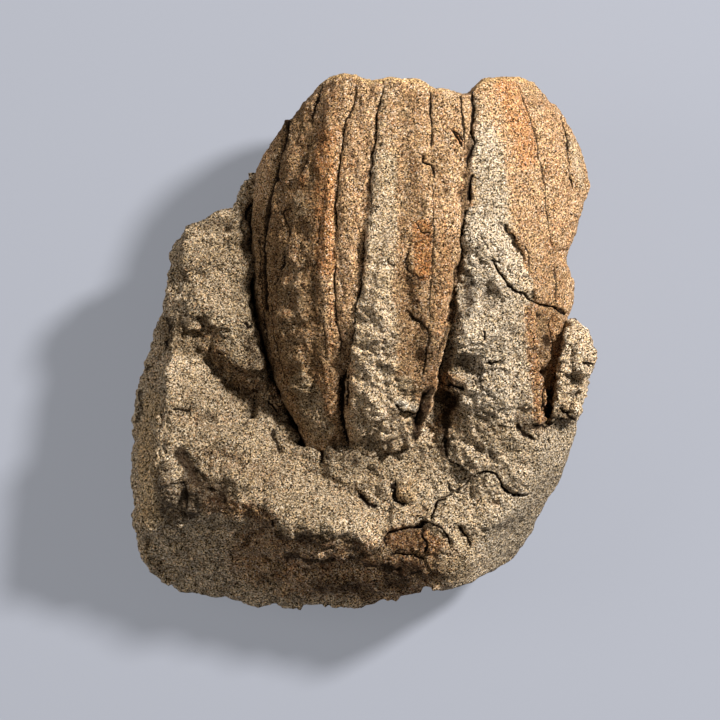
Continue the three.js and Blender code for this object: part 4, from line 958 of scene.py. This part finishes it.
def fruit_skin():
    """The fruit's skin, with its marks, its roughness and its stains."""
    def hidden(points, normals):
        _, y, z = points.T
        return (z < 12) & (normals[:, 2] < -0.1) & (y < 30)

    def in_view():
        return (skin.normals()[:, 2] > 0.12) & (skin.points[:, 2] > 12.5)

    skin = Skin("fruit", hidden)
    skin.refine_in_view(in_view, FRUIT_CRACKS)
    relief = lay_marks(skin, FRUIT_CRACKS, FRUIT_STEPS, FRUIT_RIDGES, FRUIT_LUMPS, FRUIT_STAINS_AND_SHADE)
    points, normals = skin.points, skin.normals()
    skin.stains_and_shade["bare"] = np.where(normals[:, 2] > 0.05, skin.stains_and_shade["bare"], 0.35)

    # the rind is fairly even, the stone under it crumbly towards the tip
    crumbly = 0.4 + skin.stains_and_shade["bare"] * ease(-points[:, 1], -18, -4)
    drawn_out = points * (1, 0.3, 1)  # for bumps that are longer along the fruit
    relief += 0.12 * waves(drawn_out, size=1.3, seed=100) + 0.10 * waves(points, size=3.0, seed=101)
    relief += 0.10 * facets(drawn_out, size=1.5, seed=104)
    relief += crumbly * (
        0.16 * facets(points, size=2.1, seed=105) + 0.24 * broken(points, size=1.6, seed=110))
    relief += (0.12 + 0.2 * crumbly) * (crumbs(points, size=0.8, seed=120) - 0.5)
    relief += 0.08 * waves(points, size=0.5, seed=102)
    relief -= 0.2 * crumbly * ease(waves(points, size=1.2, seed=103), 0.42, 0.75)
    skin.stains_and_shade["rind"] = 1 - skin.stains_and_shade["bare"]
    # painted highlight, partly the golden tan of the stone: the broken end's faces that turn towards the
    # key light get a golden tint for their sunlit rim
    sunlit_broken_end = ease(normals[:, 1], 0.45, 0.8) * ease(points[:, 1], 28.5, 30)
    skin.stain_and_shade("golden_and_highlight", 0.42 * sunlit_broken_end)
    settle(skin, relief)
    return skin


def matrix_skin():
    """The block's skin, with its marks, its roughness and its stains."""
    def hidden(points, normals):
        x, y, z = points.T
        inside_oval = ((x - 7) / 19) ** 2 + ((y - 12) / 32) ** 2 < 0.9
        in_hollow = inside_oval & (z < BURIED_BELOW) & (normals[:, 2] > -0.2)
        return (z < 0.6) | in_hollow

    def in_view():
        x, y, z = skin.points.T
        outside_hollow = (z > BURIED_BELOW) | (y < -13) | (x < -13.5)
        return (skin.normals()[:, 2] > 0.1) & outside_hollow & (z > 3)

    skin = Skin("matrix", hidden)
    x, y, height = skin.points.T
    height -= height.min() * (1 - ease(height, 1, 5))  # brings the base to the ground
    # on the right and round the broken end the rim is raised, so that it meets the fruit
    right = ease(y, 2.6, 4) * ease(x, 12, 18)
    rim = np.clip(right + ease(y, 16, 18) * ease(-x, 0, 5) + ease(y, 25, 28), 0, 1)
    rim += 0.4 * right * (1 - ease(y, 14, 18))
    height += RIM_LIFT * rim * ease(height, 5, 8) * (1 - ease(height, 11, 12))

    skin.refine_in_view(in_view, MATRIX_CRACKS)
    relief = lay_marks(
        skin, MATRIX_CRACKS, MATRIX_STEPS, MATRIX_RIDGES, MATRIX_LUMPS, MATRIX_STAINS_AND_SHADE)
    points, up = skin.points, facing_up(skin.normals())
    skin.stains_and_shade["bare"] = 1 - skin.stains_and_shade["rind"]

    # the break at the lower right is smoother than the weathered faces
    x, y, _ = points.T
    beyond_edge = np.maximum(0.75 * x - 0.66 * y - 25, 0.98 * x - 0.2 * y - 22)
    smooth_break = ease(beyond_edge, 0, 1.4) * ease(-y, 8.8, 9.8)
    # the crust and the toe have higher crumbs and lower facets
    craggy = ease(x, 5, 9) * ease(-np.abs(y + 2), -20, -12)
    rough = (1 + 0.1 * craggy) * (1 - 0.75 * smooth_break)
    broad = rough * (1 - 0.4 * craggy)
    relief += broad * (0.3 + 0.7 * up) * 0.42 * facets(points, size=4.2, seed=200)
    relief += broad * (
        0.28 * facets(points, size=1.9, seed=205) + 0.28 * broken(points, size=2.6, seed=207))
    relief += broad * 0.3 * (crumbs(points, size=1.3, seed=210) - 0.5)
    relief += rough * (0.36 + 0.14 * craggy) * (crumbs(points, size=0.7, seed=211) - 0.5)
    relief -= rough * 0.25 * ease(waves(points, size=1.3, seed=212), 0.38, 0.7)
    relief += 0.07 * waves(points, size=0.5, seed=213)
    settle(skin, relief)
    return skin


# ------------------------------------------------------------------ shader maths


def linear(red, green, blue):
    """A colour of 0 to 255 steps, as it looks on a screen, in the shader's own numbers."""
    def channel(step):
        share = step / 255
        return share / 12.92 if share <= 0.04045 else ((share + 0.055) / 1.055) ** 2.4
    return (channel(red), channel(green), channel(blue), 1.0)


class Signal:
    """A value on its way through a material. Sums of signals add the nodes that work them out."""

    def __init__(self, finish, socket):
        self.finish = finish
        self.socket = socket

    def maths(self, operation, first, second):
        return self.finish.add("ShaderNodeMath", {"operation": operation}, {0: first, 1: second})

    def __add__(self, other):
        return self.maths("ADD", self, other)

    def __sub__(self, other):
        return self.maths("SUBTRACT", self, other)

    def __mul__(self, other):
        return self.maths("MULTIPLY", self, other)

    def __radd__(self, other):
        return self.maths("ADD", other, self)

    def __rsub__(self, other):
        return self.maths("SUBTRACT", other, self)

    def __rmul__(self, other):
        return self.maths("MULTIPLY", other, self)

    def __pow__(self, other):
        return self.maths("POWER", self, other)

    def __rpow__(self, other):
        return self.maths("POWER", other, self)

    def absolute(self):
        return self.maths("ABSOLUTE", self, 0.0)

    def at_least(self, low):
        return self.maths("MAXIMUM", self, low)

    def between(self, low, high):
        """0 up to low, 1 from high on, smooth between. Where low is the greater, it falls."""
        return self.finish.add(
            "ShaderNodeMapRange",
            {"interpolation_type": "SMOOTHSTEP"},
            {"Value": self, "From Min": low, "From Max": high},
        )

    def sibling(self, output):
        """Another output of the node that this signal comes from."""
        return Signal(self.finish, self.socket.node.outputs[output])


class Finish:
    """A material, built node by node."""

    def __init__(self, name):
        self.material = bpy.data.materials.new(name)
        self.material.use_nodes = True
        self.tree = self.material.node_tree
        self.tree.nodes.clear()

    def add(self, kind, settings, sockets, output=0):
        """One node: its settings first, then the values or links of its sockets."""
        node = self.tree.nodes.new(kind)
        for name, value in settings.items():
            setattr(node, name, value)
        for name, value in sockets.items():
            if isinstance(value, Signal):
                self.tree.links.new(value.socket, node.inputs[name])
            else:
                node.inputs[name].default_value = value
        return Signal(self, node.outputs[output]) if node.outputs else None

    def mix(self, share, first, second):
        """Two colours mixed: all first where share is 0, all second where it is 1."""
        # the node's sockets have the same names for each type of data: these are the colours'
        settings = {"data_type": "RGBA", "clamp_factor": True}
        return self.add("ShaderNodeMix", settings, {0: share, 6: first, 7: second}, output=2)

    def stain_and_shade(self, name):
        """How stained the skin is here, or how much shade or highlight is painted on it."""
        return self.add("ShaderNodeAttribute", {"attribute_name": name}, {}, output="Fac")

    def noise(self, place, scale, detail, roughness):
        sockets = {"Vector": place, "Scale": scale, "Detail": detail, "Roughness": roughness}
        return self.add("ShaderNodeTexNoise", {}, sockets)

    def grains(self, place, scale):
        """How far a spot is from the middle of its grain, with "scale" grains to a millimetre."""
        return self.add(
            "ShaderNodeTexVoronoi", {"feature": "F1"}, {"Vector": place, "Scale": scale})

    def surface(self, sockets):
        """Ends the material with a surface that has these values or links."""
        shader = self.add("ShaderNodeBsdfPrincipled", {}, sockets)
        self.add("ShaderNodeOutputMaterial", {}, {"Surface": shader})


COLOURS = {
    "ochre": linear(156, 101, 58),
    "pale grain": linear(206, 196, 178),
    "rusty grain": linear(168, 112, 66),
    "grey": linear(176, 164, 146),
    "golden_and_highlight": linear(200, 164, 108),
    # dark stains, and the painted shade of hollows, pits and ledges
    "dark stain and shade": linear(36, 23, 13),
    # painted shade: cracks are painted near black for the shade inside them
    "crack": linear(26, 17, 10),
}


def stone_finish(name, sand, sand_worn, rind, rind_deep, contrast, bump_depth):
    """Sandstone seen grain by grain, with an iron-stained rind where the skin is stained, and with shade
    and a highlight painted where its attributes call for them.
    The contrast is that between its grains, the bump depth is in millimetres."""
    finish = Finish(name)
    metres = finish.add("ShaderNodeTexCoord", {}, {}, output="Object")
    place = finish.add("ShaderNodeVectorMath", {"operation": "SCALE"}, {0: metres, "Scale": 1 / MM})

    # each grain has two random numbers of its own, its brightness and its kind
    from_middle = finish.grains(place, GRAINS_PER_MM)
    brightness = finish.add("ShaderNodeSeparateColor", {}, {"Color": from_middle.sibling("Color")})
    kind = brightness.sibling("Green")
    clumps = finish.noise(place, scale=2.4, detail=3.0, roughness=0.7)
    blotches = finish.noise(place, scale=0.75, detail=3.0, roughness=0.65)
    patches = finish.noise(place, scale=0.16, detail=4.0, roughness=0.6)

    bare_colour = finish.mix(patches.between(0.35, 0.68), sand, sand_worn)
    rind_colour = finish.mix(blotches.between(0.3, 0.7), rind, rind_deep)
    ragged = (blotches - 0.5) * 0.9 + (clumps - 0.5) * 0.9
    # on the block, the rind colour also paints brown shade on the underside and in the hollows
    rind_share = (finish.stain_and_shade("rind") + ragged).between(0.15, 0.85)
    orange_share = (finish.stain_and_shade("orange") + ragged * 0.6).between(0.1, 1.0)
    colour = finish.mix(rind_share, bare_colour, rind_colour)
    colour = finish.mix(orange_share * 0.85, colour, COLOURS["ochre"])
    # of the grains, one in eight is pale, one in fourteen rusty, and about one in four golden
    colour = finish.mix(kind.between(0.84, 0.90) * 0.35, colour, COLOURS["pale grain"])
    colour = finish.mix(kind.between(0.10, 0.04) * 0.5, colour, COLOURS["rusty grain"])
    colour = finish.mix(finish.stain_and_shade("grey"), colour, COLOURS["grey"])
    # painted highlight on the fruit's broken end; on the block, the ochre of the nodule and the left side
    golden_and_highlight_stain = (finish.stain_and_shade("golden_and_highlight") + ragged * 0.35).between(0.1, 0.9)
    golden_and_highlight = kind.between(0.30, 0.34) * kind.between(0.62, 0.58) * 0.4 + golden_and_highlight_stain
    colour = finish.mix(golden_and_highlight, colour, COLOURS["golden_and_highlight"])

    # dark grains are browner than bright ones
    tone = ((brightness - 0.5) * contrast + 0.95) * (clumps * 0.9 + 0.55)
    # painted shade: the stain for shade and dull stone darkens the tone, and with it browns the stone,
    # where shade falls
    tone = tone.at_least(0.05) * (1 - finish.stain_and_shade("painted_shade_and_dull_tone") * 0.62)
    shades = finish.add("ShaderNodeCombineXYZ", {}, {"X": tone, "Y": tone**1.06, "Z": tone**1.17})
    colour = finish.add("ShaderNodeVectorMath", {"operation": "MULTIPLY"}, {0: colour, 1: shades})
    # dark stains, many of them painted shade in hollows, pits and under ledges
    dark_stain_and_shade_share = (finish.stain_and_shade("dark_stain_and_shade") + ragged * 0.25).between(0.15, 0.85)
    colour = finish.mix(dark_stain_and_shade_share * 0.92, colour, COLOURS["dark stain and shade"])

    # a crack's painted shade is near black, and its edges are jagged, grain by grain
    jagged = (clumps - 0.5) * 2.4 + (brightness - 0.5)
    across = (finish.stain_and_shade("across") + jagged).absolute()
    cut = across.between(1.3, 0.6) * finish.stain_and_shade("cut")
    colour = finish.mix(cut, colour, COLOURS["crack"])

    crumb = finish.grains(place, 2.2)
    pits = finish.noise(place, scale=5.0, detail=2.0, roughness=0.6)
    height = brightness * 0.6 - from_middle * 0.4 + clumps * 1.8 + pits * 1.2 - crumb * 1.4
    bump = finish.add(
        "ShaderNodeBump",
        {},
        {"Strength": 1.0, "Distance": bump_depth * MM, "Height": height - cut * 1.2},
    )
    finish.surface(
        {"Base Color": colour, "Roughness": 0.95, "Specular IOR Level": 0.06, "Normal": bump})
    return finish.material


# ------------------------------------------------------------------ studio

WARM_WHITE = (1.0, 0.95, 0.88)


def studio():
    """A pale floor, one soft key light from the upper right, and a weak fill. In metres."""
    floor_mesh = bpy.data.meshes.new("floor")
    reach = 3.0
    corners = [(-reach, -reach, 0), (reach, -reach, 0), (reach, reach, 0), (-reach, reach, 0)]
    floor_mesh.from_pydata(corners, [], [(0, 1, 2, 3)])
    paper = Finish("pale_paper")
    paper.surface({
        "Base Color": linear(104, 107, 116),
        "Roughness": 0.9,
        "Specular IOR Level": 0.1,
        "Emission Color": linear(190, 194, 204),
        "Emission Strength": 0.4,
    })
    floor_mesh.materials.append(paper.material)
    floor = bpy.data.objects.new("floor", floor_mesh)
    bpy.context.scene.collection.objects.link(floor)

    area_light("key", (0.62, 0.44, 0.70), distance=0.75, size=0.10, power=14.5, colour=(1.0, 0.97, 0.93))
    area_light("fill", (-0.75, 0.1, 0.5), distance=0.9, size=0.5, power=2.2, colour=WARM_WHITE)

    world = bpy.data.worlds.new("room")
    world.use_nodes = True
    background = world.node_tree.nodes["Background"]
    background.inputs["Color"].default_value = (*WARM_WHITE, 1)
    background.inputs["Strength"].default_value = 0.2
    bpy.context.scene.world = world
    bpy.context.scene.view_settings.view_transform = "Standard"


def area_light(name, direction, distance, size, power, colour):
    """A round light that shines on the middle of the specimen."""
    target = Vector((0, 0, 0.015))
    light = bpy.data.lights.new(name, "AREA")
    light.shape = "DISK"
    light.size = size
    light.energy = power
    light.color = colour
    lamp = bpy.data.objects.new(name, light)
    lamp.location = target + Vector(direction).normalized() * distance
    lamp.rotation_euler = (target - lamp.location).to_track_quat("-Z", "Y").to_euler()
    bpy.context.scene.collection.objects.link(lamp)


def camera():
    """Straight above, with a long lens, the fruit's broken end at the top. In millimetres."""
    aim_x, aim_y, aim_z = -0.24, -1.84, 15.0
    picture_width = 85.5  # what the picture spans at the height of the aim
    distance = 620.0
    sensor = 36.0
    lens = bpy.data.cameras.new("camera")
    lens.sensor_width = sensor
    lens.lens = sensor * distance / picture_width
    lens.clip_start = 50 * MM
    lens.clip_end = 20000 * MM
    eye = bpy.data.objects.new("camera", lens)
    eye.location = Vector((aim_x, aim_y, aim_z + distance)) * MM
    bpy.context.scene.collection.objects.link(eye)
    bpy.context.scene.camera = eye


# ------------------------------------------------------------------ assembly

camera()
studio()

fruit_finish = stone_finish(
    "fruit_rind",
    sand=linear(163, 144, 119),
    sand_worn=linear(155, 135, 108),
    rind=linear(165, 135, 103),
    rind_deep=linear(144, 110, 80),
    contrast=2.3,
    bump_depth=0.15,
)
fruit = fruit_skin().piece("fruit_cast", fruit_finish)
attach(fruit, "root")
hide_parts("fruit")

sandstone = stone_finish(
    "sandstone",
    sand=linear(168, 151, 127),
    sand_worn=linear(158, 140, 116),
    rind=linear(134, 100, 72),
    rind_deep=linear(112, 80, 56),
    contrast=2.8,
    bump_depth=0.17,
)
block = matrix_skin().piece("sandstone_block", sandstone)
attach(block, "root")
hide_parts("matrix")
